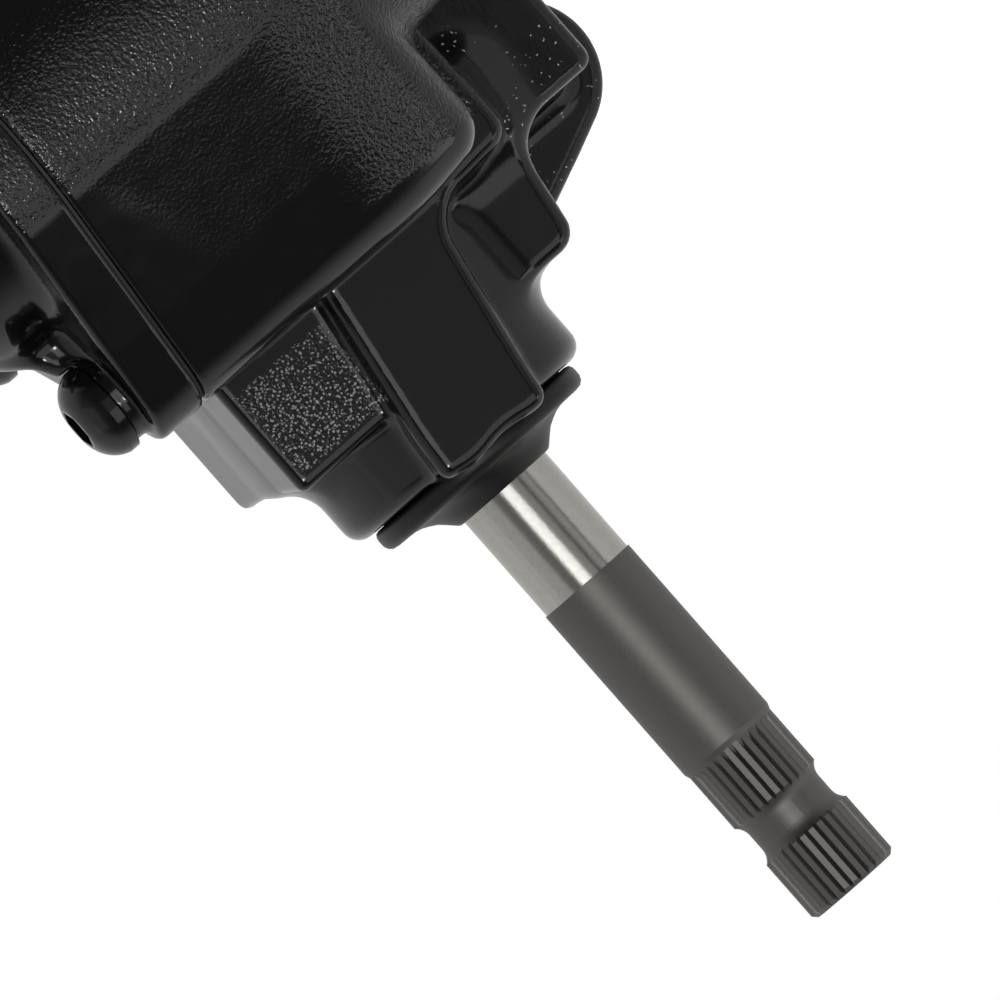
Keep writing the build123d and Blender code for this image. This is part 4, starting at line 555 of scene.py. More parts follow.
@dataclass
class Field:
    """A grid of distances in worm-frame millimetres, from which a smooth mesh is made.

    Attributes:
        low: The grid's lowest corner.
        high: The grid's highest corner.
        step: The grid's spacing.
        axes: The places along X, Y and Z, as arrays that broadcast against each other.
    """

    low: Triple
    high: Triple
    step: float = 0.7
    axes: list[Array] = field(init=False)

    def __post_init__(self) -> None:
        """Lay out the three axes."""
        lines = [np.arange(a, b + self.step, self.step, dtype=np.float32)
                 for a, b in zip(self.low, self.high)]
        self.axes = [lines[0][:, None, None], lines[1][None, :, None], lines[2][None, None, :]]

    def slab(self, axis: int, low: float, high: float) -> Array:
        """Distance to the room between two planes across an axis."""
        return np.abs(self.axes[axis] - (low + high) / 2) - (high - low) / 2

    def brick(self, corner_a: Sequence[float], corner_b: Sequence[float], radius: float) -> Array:
        """Distance to a block with rounded edges.

        Args:
            corner_a: One corner.
            corner_b: The corner across from it.
            radius: The edges' radius.

        Returns:
            The distance, which is negative inside.
        """
        spans = [sorted(pair) for pair in zip(corner_a, corner_b)]
        sides = [self.slab(i, low + radius, high - radius) for i, (low, high) in enumerate(spans)]
        outside = sum(np.maximum(side, 0) ** 2 for side in sides)
        inside = np.minimum(np.maximum(np.maximum(sides[0], sides[1]), sides[2]), 0)
        return np.sqrt(outside) + inside - radius

    def ring(self, axis: int, centre: Pair) -> Array:
        """Distance from a line along an axis."""
        across = [self.axes[i] for i in range(3) if i != axis]
        return np.sqrt((across[0] - centre[0]) ** 2 + (across[1] - centre[1]) ** 2)

    def bar(self, axis: int, centre: Pair, radius: float, low: float, high: float,
            edge: float = 0.5) -> Array:
        """Distance to a round bar along an axis, with rounded ends."""
        return round_meet(self.ring(axis, centre) - radius, self.slab(axis, low, high), edge)

    def wrapped(self, pair: tuple[int, int], rounds: Iterable[Triple]) -> Array:
        """Distance to the outline that wraps a set of rounds.

        Args:
            pair: The two axes that the rounds lie in.
            rounds: Each round's centre and radius.

        Returns:
            The distance, the same all along the third axis.
        """
        rounds = list(rounds)
        best = None
        for turn in np.linspace(0, 2 * math.pi, 240, endpoint=False):
            c, s = math.cos(turn), math.sin(turn)
            reach = max(c * u + s * v + r for u, v, r in rounds)
            side = c * self.axes[pair[0]] + s * self.axes[pair[1]] - reach
            best = side if best is None else np.maximum(best, side)
        return best

    def mesh(self, distance: Array, name: str) -> bpy.types.Object:
        """Turn a field of distances into a mesh object.

        Args:
            distance: The field, which is negative inside the piece.
            name: The piece's name.

        Returns:
            The object, in the row frame.
        """
        shape = tuple(len(a.ravel()) for a in self.axes)
        grid = openvdb.FloatGrid()
        grid.background = 10.0
        grid.copyFromArray(np.array(np.broadcast_to(distance, shape), dtype=np.float32))
        points, quads = grid.convertToQuads(isovalue=0.0)
        return join_mesh(points * self.step + np.array(self.low), quads[:, ::-1].tolist(), name)


@dataclass
class CoverOutline:
    """The outline that the box and the side cover share: a front round and a round at each screw.

    Attributes:
        seam_z: Height of the housing's joint face.
        gasket: The gasket's thickness.
        front_round: Radius of the front round, around the sector axis.
        boss_round: Radius of the round at each screw.
        screw_circle: Radius of the circle that the screws lie on.
        screw_angles: Where they lie on it, in degrees.
        screw_radius: Radius of the screws' holes.
        grain_half_x: Half the width of the front round's rough skin.
        grain_fade: Over how much of X the rough skin fades in.
    """

    seam_z: float = 40.8
    gasket: float = 0.6
    front_round: float = 38.0
    boss_round: float = 11.3
    screw_circle: float = 47.8
    screw_angles: tuple[float, ...] = (6.5, 173.5, 240.0, 300.0)
    screw_radius: float = 5.0
    grain_half_x: float = 16.5
    grain_fade: float = 2.5

    def screws(self) -> list[Pair]:
        """The screws' centres."""
        out, turns = self.screw_circle, [math.radians(angle) for angle in self.screw_angles]
        return [(out * math.cos(turn), SECTOR_Y + out * math.sin(turn)) for turn in turns]

    def distance(self, grid: Field) -> Array:
        """Distance to the outline on a grid."""
        rounds = [(0.0, SECTOR_Y, self.front_round)] + [(x, y, self.boss_round) for x, y in self.screws()]
        return grid.wrapped((0, 1), rounds)

    def front_grain(self, x: Array) -> Array:
        """How rough the skin is on the front round, where the sand was not dressed."""
        return ease((self.grain_half_x - np.abs(x)) / self.grain_fade)


@dataclass
class Casting:
    """A painted casting: a field of distances made into one mesh, whose points carry the paint's marks.

    Attributes:
        outline: The outline shared by housing and cover.
        grid: The grid that the casting is made on.
        name: The piece's name.
        node: The CAD node that it stands for.
    """

    outline: CoverOutline
    grid: Field = field(init=False)
    name: str = "casting"
    node: str = ""

    def shape(self) -> Array:
        """The casting's field of distances."""
        raise NotImplementedError

    def grain(self, x: Array, y: Array, z: Array) -> Array:
        """How much sand texture shows at each point."""
        return np.zeros_like(x)

    def glint_spots(self, x: Array, y: Array, z: Array) -> Array:
        """Where painted glint spots lie in the paint, from 0 to 1."""
        return np.zeros_like(x)

    def pips(self, x: Array, y: Array, z: Array) -> Array:
        """Where the raised pips of a stippled pad are, from 0 to 1."""
        return np.zeros_like(x)

    def build(self, wardrobe: Wardrobe) -> bpy.types.Object:
        """Make the mesh, mark its points and put it in the solid's place.

        Args:
            wardrobe: Where the paint comes from.

        Returns:
            The finished piece.
        """
        piece = self.grid.mesh(self.shape(), self.name)
        points = np.zeros(len(piece.data.vertices) * 3, np.float32)
        piece.data.vertices.foreach_get("co", points)
        x, y, z = (points.reshape(-1, 3) / MM - np.array((0, WORM_Y, WORM_Z))).T
        for mark, level in ((Mark.GRAIN, self.grain), (Mark.GLINT_SPOTS, self.glint_spots), (Mark.PIPS, self.pips)):
            layer = piece.data.attributes.new(mark.value, "FLOAT", "POINT")
            layer.data.foreach_set("value", level(x, y, z).astype(np.float32))
        return wardrobe.fit(piece, self.node, "housing", Slot.BLACK_PAINT)


@dataclass
class Housing(Casting):
    """The one-piece housing. Sizes are millimetres from the worm axis, and rounds are (x, z, radius).

    Attributes:
        edge: Usual edge radius.
        fillet: Usual inner corner radius.
        box_low_z: Underside of the box.
        box_edge: Edge radius around the underside.
        box_top_edge: Edge radius at the joint face.
        box_slope: How fast the underside rises towards the front.
        box_bend_y: Where it starts to rise.
        box_draft: How far the lower walls lean in, times the square of the depth below draft_z.
        draft_z: Where they start to lean in.
        hollow: Depth of the box's hollowed faces.
        hollow_top: Where the hollow ends, and over how much of Z it fades out.
        dimple: Depth of the dimple below each side screw.
        dimple_at: Where the dimple is, as (x, z).
        dimple_size: Its half sizes along X and Z.
        swell_x: Where the shoulder's lower border starts to fall, and over how much of X it falls.
        swell_z: Height of that border at the front, how far it falls, and how soft it is.
        barrel_radius: Radius of the piston's barrel.
        barrel_right_x: The barrel's end inside the casting.
        barrel_edge: Edge radius of its ends.
        left_x: The barrel's far end.
        block_start_x: Where the valve block starts, inside the box.
        block_end_x: Its end face at its frame side.
        end_curve: How far that face curves out, per square millimetre from there.
        block_y: The block's frame side and front.
        block_z: Its underside and top.
        block_edge: Edge radius along its top.
        shelf_face: Rounds that the inclined shelf wraps.
        shelf_tail: Rounds that the tail below it wraps.
        shelf_y: The shelf's frame side and front.
        shelf_fillet: Inner corner radius between the two.
        shelf_wave: Height of the wave in the shelf's end, its radians per millimetre and its phase.
        shelf_wave_x: Where the wave starts, and over how much of X it grows.
        port_face: Rounds that the port boss wraps.
        port_boss_y: The boss's frame side and front.
        port_edge: Its edge radius.
        port_mouth: Where the hose ports open, as (x, z).
        port_y: Where the two ports lie.
        port_slope: The boss's lower face, in degrees.
        port_steps: Each step of a port, as its radius and its depth's end.
        neck_radius: Radius of the neck.
        neck_start_x: Where it starts, inside the casting.
        neck_end_x: Its end face.
        neck_edge: Its edge radius.
        tower_foot: Radius of the tower at the box.
        tower_end: Its radius at the end.
        tower_end_z: Its end face.
        web_half_x: Half the width of the web between tower and lobes.
        web_back_y: The web's back.
        web_edge: Its edge radius.
        web_fillet: Inner corner radius between tower and web.
        lobe_x: Outer ends of the lobes.
        lobe_inner_x: Their inner ends.
        lobe_low_z: Their underside.
        lobe_front_y: Their front face.
        lobe_lean: How fast that face leans back below lobe_lean_z.
        lobe_lean_z: Where it starts to lean.
        lobe_edge: The lobes' edge radius.
        pad_relief: How far the lobes stay back from the mounting face.
        lug_x: Half the spacing of the mounting holes.
        lug_z: Heights of the mounting holes.
        lug_radius: Radius of a lug.
        lug_front_y: Front face of the lugs.
        right_low_lug: The lower right lug's own x and radius.
        web_reach_x: How far the lugs' webs reach on the right and on the left.
        web_corner: Corner radius of the webs.
        web_corner_z: Height of their outer corners.
        lug_hole: Radius of a mounting hole, where its cut starts in front of the face, and its depth.
        screw_hole: Depth of the cover screws' holes, and where their cuts end above the joint face.
        hole_edge: Edge radius at the bottom of these holes.
        worm_bores: Bores around the worm axis, as (radius, from x, to x, edge).
        sector_bores: Bores around the sector axis, as (radius, from z, to z).
        barrel_fillet: Inner corner radius between box and barrel.
        tower_fillet: The same between box and tower.
        lobe_port_fillet: The same between lobe and port boss.
        body_fillet: The same where lobes and lugs meet the rest.
        neck_port_fillet: The same between neck and port boss.
        neck_corner: The same between neck and valve block on the frame side.
        neck_corner_y: Where that corner starts to narrow, and over how much of Y.
        pad_x: The stippled pad's ends.
        pad_z: Its lower and upper border.
        pad_fade: How soft its border is.
        pad_depth: How far behind the block's front it still counts.
        skin: How rough the box's faces are, and how much rougher the rough places.
        rough_z: Where the lower walls start to get rough, and over how much of Z.
        skin_end_x: Where the box's skin ends, and over how much of X it fades.
        far_skin: How rough the far side is, where it starts, and over how much of X.
        pad_skin: How rough the skin is under the pad's pips.
        clean_skin: How rough it is on the lobes and lugs.
        glint_spot_z: Below which height the painted glint spots lie.
        glint_spot_room: How far past the lobes' front and inner ends they may lie.
    """

    name: str = "cast_housing"
    node: str = "housing"
    edge: float = 2.5
    fillet: float = 2.2
    box_low_z: float = -30.0
    box_edge: float = 6.0
    box_top_edge: float = 1.0
    box_slope: float = 0.22
    box_bend_y: float = 56.0
    box_draft: float = 0.0042
    draft_z: float = -2.0
    hollow: float = 0.16
    hollow_top: Pair = (38.0, 6.0)
    dimple: float = 0.12
    dimple_at: Pair = (44.0, 33.4)
    dimple_size: Pair = (7.0, 0.9)
    swell_x: Pair = (14.0, 36.0)
    swell_z: Triple = (39.5, 15.5, 8.0)
    barrel_radius: float = 36.5
    barrel_right_x: float = 57.0
    barrel_edge: float = 1.0
    left_x: float = -85.5
    block_start_x: float = 30.0
    block_end_x: float = 78.6
    end_curve: float = 0.0013
    block_y: Pair = (-32.0, 27.0)
    block_z: Pair = (-8.0, 33.1)
    block_edge: float = 1.8
    shelf_face: Rounds = ((30, 0.4, 2.5), (95.8, 10.6, 2.5), (95.8, -9.1, 2.5), (30, -20.9, 2.5))
    shelf_tail: Rounds = ((20, -33.0, 4.5), (54.2, -33.8, 4.5), (57.0, -12, 3.0), (20, -12, 3.0))
    shelf_y: Pair = (-10.0, 31.0)
    shelf_fillet: float = 7.0
    shelf_wave: Triple = (0.4, 0.42, 2.2)
    shelf_wave_x: Pair = (88.0, 8.0)
    port_face: Rounds = ((46, -39.3, 2.5), (76.0, -33.1, 4.0), (77.4, -5, 2.5), (46, -5, 2.5))
    port_boss_y: Pair = (-30.0, 18.0)
    port_edge: float = 2.0
    port_mouth: Pair = (69.4, -38.785)
    port_y: Pair = (5.5, -15.5)
    port_slope: float = 11.0
    port_steps: tuple[Pair, ...] = ((8.0, -12.5), (5.52, -16.0), (3.5, -28.5))
    neck_radius: float = 27.2
    neck_start_x: float = 50.0
    neck_end_x: float = 96.4
    neck_edge: float = 3.6
    tower_foot: float = 34.0
    tower_end: float = 28.0
    tower_end_z: float = -78.0
    web_half_x: float = 20.0
    web_back_y: float = 14.0
    web_edge: float = 2.0
    web_fillet: float = 4.0
    lobe_x: float = 58.7
    lobe_inner_x: float = 18.0
    lobe_low_z: float = -61.0
    lobe_front_y: float = 20.0
    lobe_lean: float = 0.14
    lobe_lean_z: float = -40.0
    lobe_edge: float = 2.6
    pad_relief: float = 3.0
    lug_x: float = 51.5
    lug_z: Pair = (-56.0, 14.0)
    lug_radius: float = 15.0
    lug_front_y: float = -25.0
    right_low_lug: Pair = (53.0, 15.2)
    web_reach_x: Pair = (69.8, -52.6)
    web_corner: float = 6.0
    web_corner_z: float = -40.0
    lug_hole: Triple = (5.1, -60.0, 17.0)
    screw_hole: Pair = (10.0, 60.0)
    hole_edge: float = 0.2
    worm_bores: tuple[tuple[float, float, float, float], ...] = (
        (30.0 + BORE_ROOM, -100.0, 54.5, 0.5), (31.6, -80.5, -78.5, 0.2), (12.1, 50.0, 70.0, 0.5),
        (19.5 + BORE_ROOM, 58.0, 90.0, 0.5), (21.5, 84.1, 120.0, 0.2), (25.1, 96.4, 120.0, 0.2),
    )
    sector_bores: tuple[Triple, ...] = ((32.0, -20.0, 60.0), (21.0 + BORE_ROOM, -100.0, -10.0))
    barrel_fillet: float = 6.0
    tower_fillet: float = 3.5
    lobe_port_fillet: float = 9.0
    body_fillet: float = 5.0
    neck_port_fillet: float = 7.0
    neck_corner: float = 8.0
    neck_corner_y: Pair = (6.0, 12.0)
    pad_x: Pair = (61.6, 80.2)
    pad_z: Pair = (10.4, 31.6)
    pad_fade: float = 0.8
    pad_depth: float = 0.6
    skin: Pair = (0.15, 1.05)
    rough_z: Pair = (2.0, 16.0)
    skin_end_x: Pair = (52.8, 2.0)
    far_skin: Triple = (0.4, -10.0, 5.0)
    pad_skin: float = 0.5
    clean_skin: float = 0.03
    # Below this height the lobes get pale spots painted as highlights
    glint_spot_z: float = -39.0
    glint_spot_room: Pair = (4.0, 2.0)

    def __post_init__(self) -> None:
        """Lay the grid around the casting."""
        self.grid = Field((-88.0, -52.0, -80.0), (101.0, 91.0, 43.0))

    def swell(self, x: Array, z: Array) -> Array:
        """The smooth shoulder below the cover screws.

        Args:
            x: Places along X.
            z: Places along Z.

        Returns:
            1 on the shoulder, and 0 on the box's hollowed faces.
        """
        (start, run), (top, fall, soft) = self.swell_x, self.swell_z
        out = np.clip((np.abs(x) - start) / run, 0, 1)
        border = top - fall * out * (2 - out)
        return ease((z - border) / soft + 0.5)

    def box(self) -> Array:
        """The box around the sector, with its shoulder, its dimples and its rising underside.

        Returns:
            Its field of distances.
        """
        g = self.grid
        x, y, z = g.axes
        (top, fade), (dimple_x, dimple_z), (wide, high) = self.hollow_top, self.dimple_at, self.dimple_size
        hollow = self.hollow * (1 - self.swell(x, z)) * ease((top - z) / fade)
        dimple = self.dimple * np.exp(-((np.abs(x) - dimple_x) / wide) ** 2 - ((z - dimple_z) / high) ** 2)
        draft = self.box_draft * np.maximum(self.draft_z - z, 0) ** 2
        floor = self.box_low_z - z + self.box_slope * np.maximum(y - self.box_bend_y, 0)
        body = round_meet(self.outline.distance(g) + hollow + dimple + draft, floor, self.box_edge)
        return round_meet(body, z - self.outline.seam_z, self.box_top_edge)

    def barrel(self) -> Array:
        """The round body around the rack piston."""
        ends = (self.left_x, self.barrel_right_x)
        return self.grid.bar(0, (0.0, 0.0), self.barrel_radius, *ends, self.barrel_edge)

    def valve_block(self) -> Array:
        """The block around the valve, with its curved end.

        Returns:
            Its field of distances.
        """
        g = self.grid
        x, y, z = g.axes
        (back, front), (low, top) = self.block_y, self.block_z
        end = x - (self.block_end_x + self.end_curve * (y - back) ** 2)
        body = round_meet(g.slab(1, back, front), end, self.edge)
        body = round_meet(body, np.maximum(z - top, low - z), self.block_edge)
        return np.maximum(body, self.block_start_x - x)

    def shelf(self) -> Array:
        """The inclined block beside the neck, with the tail that runs down beside the port boss.

        Returns:
            Its field of distances.
        """
        g = self.grid
        x, _, z = g.axes
        (height, turns, start), (wave_x, run) = self.shelf_wave, self.shelf_wave_x
        wave = height * np.sin(z * turns + start) * ease((x - wave_x) / run)
        face = g.wrapped((0, 2), self.shelf_face) + wave
        both = round_union(face, g.wrapped((0, 2), self.shelf_tail), self.shelf_fillet)
        return round_meet(both, g.slab(1, *self.shelf_y), self.edge)

    def port_boss(self) -> Array:
        """The boss that carries the hose ports, with its sloping lower face."""
        g = self.grid
        return round_meet(g.wrapped((0, 2), self.port_face), g.slab(1, *self.port_boss_y), self.port_edge)

    def neck(self) -> Array:
        """The round neck that the input shaft comes out of."""
        ends = (self.neck_start_x, self.neck_end_x)
        return self.grid.bar(0, (0.0, 0.0), self.neck_radius, *ends, self.neck_edge)

    def tower(self) -> Array:
        """The tower around the sector shaft, with the web that ties it to the lobes.

        Returns:
            Its field of distances.
        """
        g = self.grid
        taper = np.clip((self.box_low_z - g.axes[2]) / (self.box_low_z - self.tower_end_z), 0, 1)
        radius = self.tower_foot + (self.tower_end - self.tower_foot) * taper
        cone = round_meet(g.ring(2, (0.0, SECTOR_Y)) - radius, g.slab(2, self.tower_end_z, 0), self.edge)
        web = g.brick((-self.web_half_x, self.web_back_y, self.lobe_low_z), (self.web_half_x, SECTOR_Y, 0),
                      self.web_edge)
        return round_union(cone, web, self.web_fillet)

    def lobes(self) -> Array:
        """The thick lobes in front of the lower lugs, whose front faces lean back towards their low ends.

        Returns:
            Their field of distances.
        """
        g = self.grid
        _, y, z = g.axes
        lean = self.lobe_lean * np.maximum(self.lobe_lean_z - z, 0)
        front = (y - self.lobe_front_y + lean) / math.hypot(1, self.lobe_lean)
        # Each block runs past the front face, which is then cut to its lean
        back, past = MOUNT_FACE_Y + self.pad_relief, self.lobe_front_y + 10.0
        pair = [g.brick((side * self.lobe_inner_x, back, self.lobe_low_z), (side * self.lobe_x, past, 0),
                        self.lobe_edge) for side in (-1, 1)]
        return round_meet(np.minimum(*pair), front, self.lobe_edge)

    def lug_webs(self) -> Array:
        """The four lugs with the webs behind them, on the frame side.

        Returns:
            Their field of distances.
        """
        g = self.grid
        low, high = self.lug_z
        low_x, low_radius = self.right_low_lug
        low_lugs = ((low_x, low, low_radius), (-self.lug_x, low, self.lug_radius))
        depth = g.slab(1, MOUNT_FACE_Y, self.lug_front_y)
        plates = []
        for side, reach, low_lug in zip((1, -1), self.web_reach_x, low_lugs):
            inner = side * self.web_half_x
            corners = ((reach, self.web_corner_z), (inner, self.web_corner_z), (inner, high))
            rounds = [low_lug, (side * self.lug_x, high, self.lug_radius)]
            rounds += [(x, z, self.web_corner) for x, z in corners]
            plates.append(round_meet(g.wrapped((0, 2), rounds), depth, self.edge))
        return np.minimum(*plates)

    def port_cuts(self) -> list[Array]:
        """The stepped holes of the two hose ports.

        Returns:
            One field for each step.
        """
        g = self.grid
        turn = math.radians(self.port_slope)
        x, z = g.axes[0] - self.port_mouth[0], g.axes[2] - self.port_mouth[1]
        depth = x * math.sin(turn) - z * math.cos(turn)
        across = x * math.cos(turn) + z * math.sin(turn)
        cuts = []
        for y in self.port_y:
            ring = np.sqrt(across ** 2 + (g.axes[1] - y) ** 2)
            cuts += [np.maximum(ring - radius, end - depth) for radius, end in self.port_steps]
        return cuts

    def cuts(self) -> Array:
        """What is bored or drilled, as one field.

        Returns:
            The field, which is negative inside a hole.
        """
        g = self.grid
        holes = [g.bar(0, (0, 0), *bore) for bore in self.worm_bores]
        holes += [g.bar(2, (0, SECTOR_Y), *bore) for bore in self.sector_bores]
        (deep, end), (radius, start, depth) = self.screw_hole, self.lug_hole
        screw, bottom = self.outline.screw_radius, self.outline.seam_z - deep
        holes += [g.bar(2, place, screw, bottom, end, self.hole_edge) for place in self.outline.screws()]
        holes += [g.bar(1, (side * self.lug_x, z), radius, start, MOUNT_FACE_Y + depth, self.hole_edge)
                  for side in (-1, 1) for z in self.lug_z]
        total = None
        for hole in holes + self.port_cuts():
            total = hole if total is None else np.minimum(total, hole)
        return total

    def shape(self) -> Array:
        """Join the casting's parts with fillets, cut the bores and face the flat ends.

        Returns:
            The casting's field of distances.
        """
        x, y, z = self.grid.axes
        ports = self.port_boss()
        body = round_union(self.box(), self.barrel(), self.barrel_fillet)
        body = round_union(body, self.tower(), self.tower_fillet)
        body = round_union(body, round_union(self.lobes(), ports, self.lobe_port_fillet), self.body_fillet)
        body = round_union(body, self.lug_webs(), self.body_fillet)
        valve = round_union(self.neck(), ports, self.neck_port_fillet)
        narrow_y, run = self.neck_corner_y
        corner = self.neck_corner - (self.neck_corner - self.fillet) * ease((y - narrow_y) / run)
        valve = round_union(valve, self.valve_block(), corner)
        valve = round_union(valve, self.shelf(), self.fillet)
        body = round_union(body, valve, self.fillet)
        body = np.maximum(body, -self.cuts())
        body = np.maximum(body, np.maximum(MOUNT_FACE_Y - y, self.left_x - x))
        return np.maximum(body, z - self.outline.seam_z)

    def grain(self, x: Array, y: Array, z: Array) -> Array:
        """Sand texture: rough on the front round and low down, fine on the box's faces and the far side.

        Args:
            x: The points' places along X.
            y: Their places along Y.
            z: Their places along Z.

        Returns:
            How much of it shows at each point.
        """
        (fine, more), (top, run), (end, fade) = self.skin, self.rough_z, self.skin_end_x
        front = self.outline.front_grain(x)
        rough = fine + more * np.maximum(front, ease((top - z) / run))
        box = rough * ease((end - x) / fade) * (1 - self.swell(x, z) * (1 - front))
        box = np.where(self.below(x, y, z), self.clean_skin, box)
        far, far_x, far_run = self.far_skin
        pad = self.pad_skin * self.pips(x, y, z)
        return np.maximum(np.maximum(box, pad), far * ease((far_x - x) / far_run))

    def pips(self, x: Array, y: Array, z: Array) -> Array:
        """The stippled pad on the valve block's front.

        Args:
            x: The points' places along X.
            y: Their places along Y.
            z: Their places along Z.

        Returns:
            1 inside the pad and 0 outside it.
        """
        (left, right), (low, top) = self.pad_x, self.pad_z
        inside = np.minimum(np.minimum(x - left, right - x), np.minimum(z - low, top - z))
        return ease(inside / self.pad_fade) * (y > self.block_y[1] - self.pad_depth)

    def glint_spots(self, x: Array, y: Array, z: Array) -> Array:
        """Pale spots painted in as highlights, on the lobes and lugs below the box."""
        return self.below(x, y, z)

    def below(self, x: Array, y: Array, z: Array) -> Array:
        """Where a point lies on the lobes and lugs, but not on the mounting face."""
        front, inner = self.lobe_front_y + self.glint_spot_room[0], self.lobe_inner_x - self.glint_spot_room[1]
        low = (z < self.glint_spot_z) & (np.abs(x) > inner)
        return low & (y < front) & (y > MOUNT_FACE_Y + self.pad_relief)


@dataclass
class SideCover(Casting):
    """The side cover: its plate, dome, adjuster hub, ribs and screw bosses.

    Attributes:
        top_z: Top of the plate.
        edge: Edge radius of the plate's top.
        low_edge: Edge radius of its underside.
        dome_radius: Radius of the dome.
        dome_top_z: Top of the dome.
        dome_edge: Edge radius of the dome.
        dome_foot: Inner corner radius at the dome's foot.
        hub_radius: Radius of the adjuster hub.
        hub_top_z: Top of the hub.
        hub_edge: Edge radius of the hub.
        hub_foot: Inner corner radius at the hub's foot.
        boss_radius: Radius of a screw boss.
        boss_height: Its height above the plate.
        boss_edge: Its edge radius.
        boss_foot: Inner corner radius at its foot.
        head_room: Radius of the room kept free around each screw head, and where it ends.
        screw_bore: How much wider than the housing's the screws' holes are, and from and to which z.
        rib: Width of a rib.
        rib_edge: Edge radius of a rib.
        rib_foot: Inner corner radius at its foot.
        rib_top: A point on its sloping top, as (distance from the sector axis, z).
        rib_slope: That top's direction, as the parts across and along the rib of its normal.
        rib_reach: Where a rib starts and ends, from the sector axis.
        spigot: Middle radius of the ring that centres the cover in the box, and half its thickness.
        spigot_depth: How far the ring reaches down.
        sector_bore: The pocket over the sector shaft, as (radius, from z, to z).
        adjuster_bore: The adjuster's hole, as (radius, from z, to z).
    """

    name: str = "cast_side_cover"
    node: str = "side_cover"
    top_z: float = 51.7
    edge: float = 1.6
    low_edge: float = 0.8
    dome_radius: float = 31.4
    dome_top_z: float = 66.0
    dome_edge: float = 5.0
    dome_foot: float = 4.5
    hub_radius: float = 15.0
    hub_top_z: float = 72.0
    hub_edge: float = 2.0
    hub_foot: float = 3.0
    boss_radius: float = 8.2
    boss_height: float = 3.2
    boss_edge: float = 0.7
    boss_foot: float = 1.6
    head_room: Pair = (9.3, 80.0)
    screw_bore: Triple = (0.4, 30.0, 70.0)
    rib: float = 5.0
    rib_edge: float = 2.2
    rib_foot: float = 4.0
    rib_top: Pair = (38.2, 57.8)
    rib_slope: Pair = (0.87, 0.49)
    rib_reach: Pair = (11.7, 44.0)
    spigot: Pair = (30.4, 1.4)
    spigot_depth: float = 3.5
    sector_bore: Triple = (18.6, 30.0, 60.05)
    adjuster_bore: Triple = (6.05, 58.0, 90.0)

    def __post_init__(self) -> None:
        """Lay the grid around the cover."""
        self.grid = Field((-60.0, -3.0, 36.0), (60.0, 90.0, 74.0), 0.5)

    def ribs(self) -> Array:
        """The sloping ribs from the dome to the screw bosses.

        Returns:
            Their field of distances.
        """
        x, y, z = self.grid.axes
        (top_out, top_z), (rise, fall), (start, end) = self.rib_top, self.rib_slope, self.rib_reach
        best = None
        for screw_x, screw_y in self.outline.screws():
            turn = math.atan2(screw_y - SECTOR_Y, screw_x)
            c, s = math.cos(turn), math.sin(turn)
            out = x * c + (y - SECTOR_Y) * s
            side = np.abs(y * c - SECTOR_Y * c - x * s)
            top = (z - top_z) * rise + (out - top_out) * fall
            rib = round_meet(side - self.rib / 2, top, self.rib_edge)
            rib = np.maximum(rib, np.maximum(out - end, start - out))
            rib = np.maximum(rib, self.outline.seam_z + 2 - z)
            best = rib if best is None else np.minimum(best, rib)
        return best

    def bores(self) -> list[Array]:
        """What is bored or kept free.

        Returns:
            One field for each bore.
        """
        g, screws, boss_top = self.grid, self.outline.screws(), self.top_z + self.boss_height
        (room, low, high), (head, end) = self.screw_bore, self.head_room
        bores = [g.bar(2, (0.0, SECTOR_Y), *bore, 0.1) for bore in (self.sector_bore, self.adjuster_bore)]
        bores += [g.bar(2, place, self.outline.screw_radius + room, low, high, 0.1) for place in screws]
        return bores + [g.bar(2, place, head, boss_top, end, 0.3) for place in screws]

    def shape(self) -> Array:
        """Join the cover's parts with fillets and cut its bores.

        Returns:
            The cover's field of distances.
        """
        g, z, centre = self.grid, self.grid.axes[2], (0.0, SECTOR_Y)
        low, boss_top = self.outline.seam_z + self.outline.gasket, self.top_z + self.boss_height
        dome = g.bar(2, centre, self.dome_radius, low, self.dome_top_z, self.dome_edge)
        hub = g.bar(2, centre, self.hub_radius, low, self.hub_top_z, self.hub_edge)
        body = round_meet(self.outline.distance(g), z - self.top_z, self.edge)
        body = round_union(body, dome, self.dome_foot)
        body = round_union(body, hub, self.hub_foot)
        for place in self.outline.screws():
            boss = g.bar(2, place, self.boss_radius, low, boss_top, self.boss_edge)
            body = round_union(body, boss, self.boss_foot)
        body = round_union(body, self.ribs(), self.rib_foot)
        body = round_meet(body, low - z, self.low_edge)
        wall = np.abs(g.ring(2, centre) - self.spigot[0]) - self.spigot[1]
        body = np.minimum(body, np.maximum(wall, g.slab(2, low - self.spigot_depth, low + 1)))
        for bore in self.bores():
            body = np.maximum(body, -bore)
        return body

    def grain(self, x: Array, y: Array, z: Array) -> Array:
        """Sand texture on the front round's side, and faintly on the plate.

        Args:
            x: The points' places along X.
            y: Their places along Y.
            z: Their places along Z.

        Returns:
            How much of it shows at each point.
        """
        side = self.outline.front_grain(x) * ease((self.top_z - 0.4 - z) / 1.0) * (y > SECTOR_Y)
        plate = 0.3 * ease((z - self.top_z + 0.6) / 0.6) * ease((self.top_z + 1.5 - z) / 1.0)
        return np.maximum(side, plate)


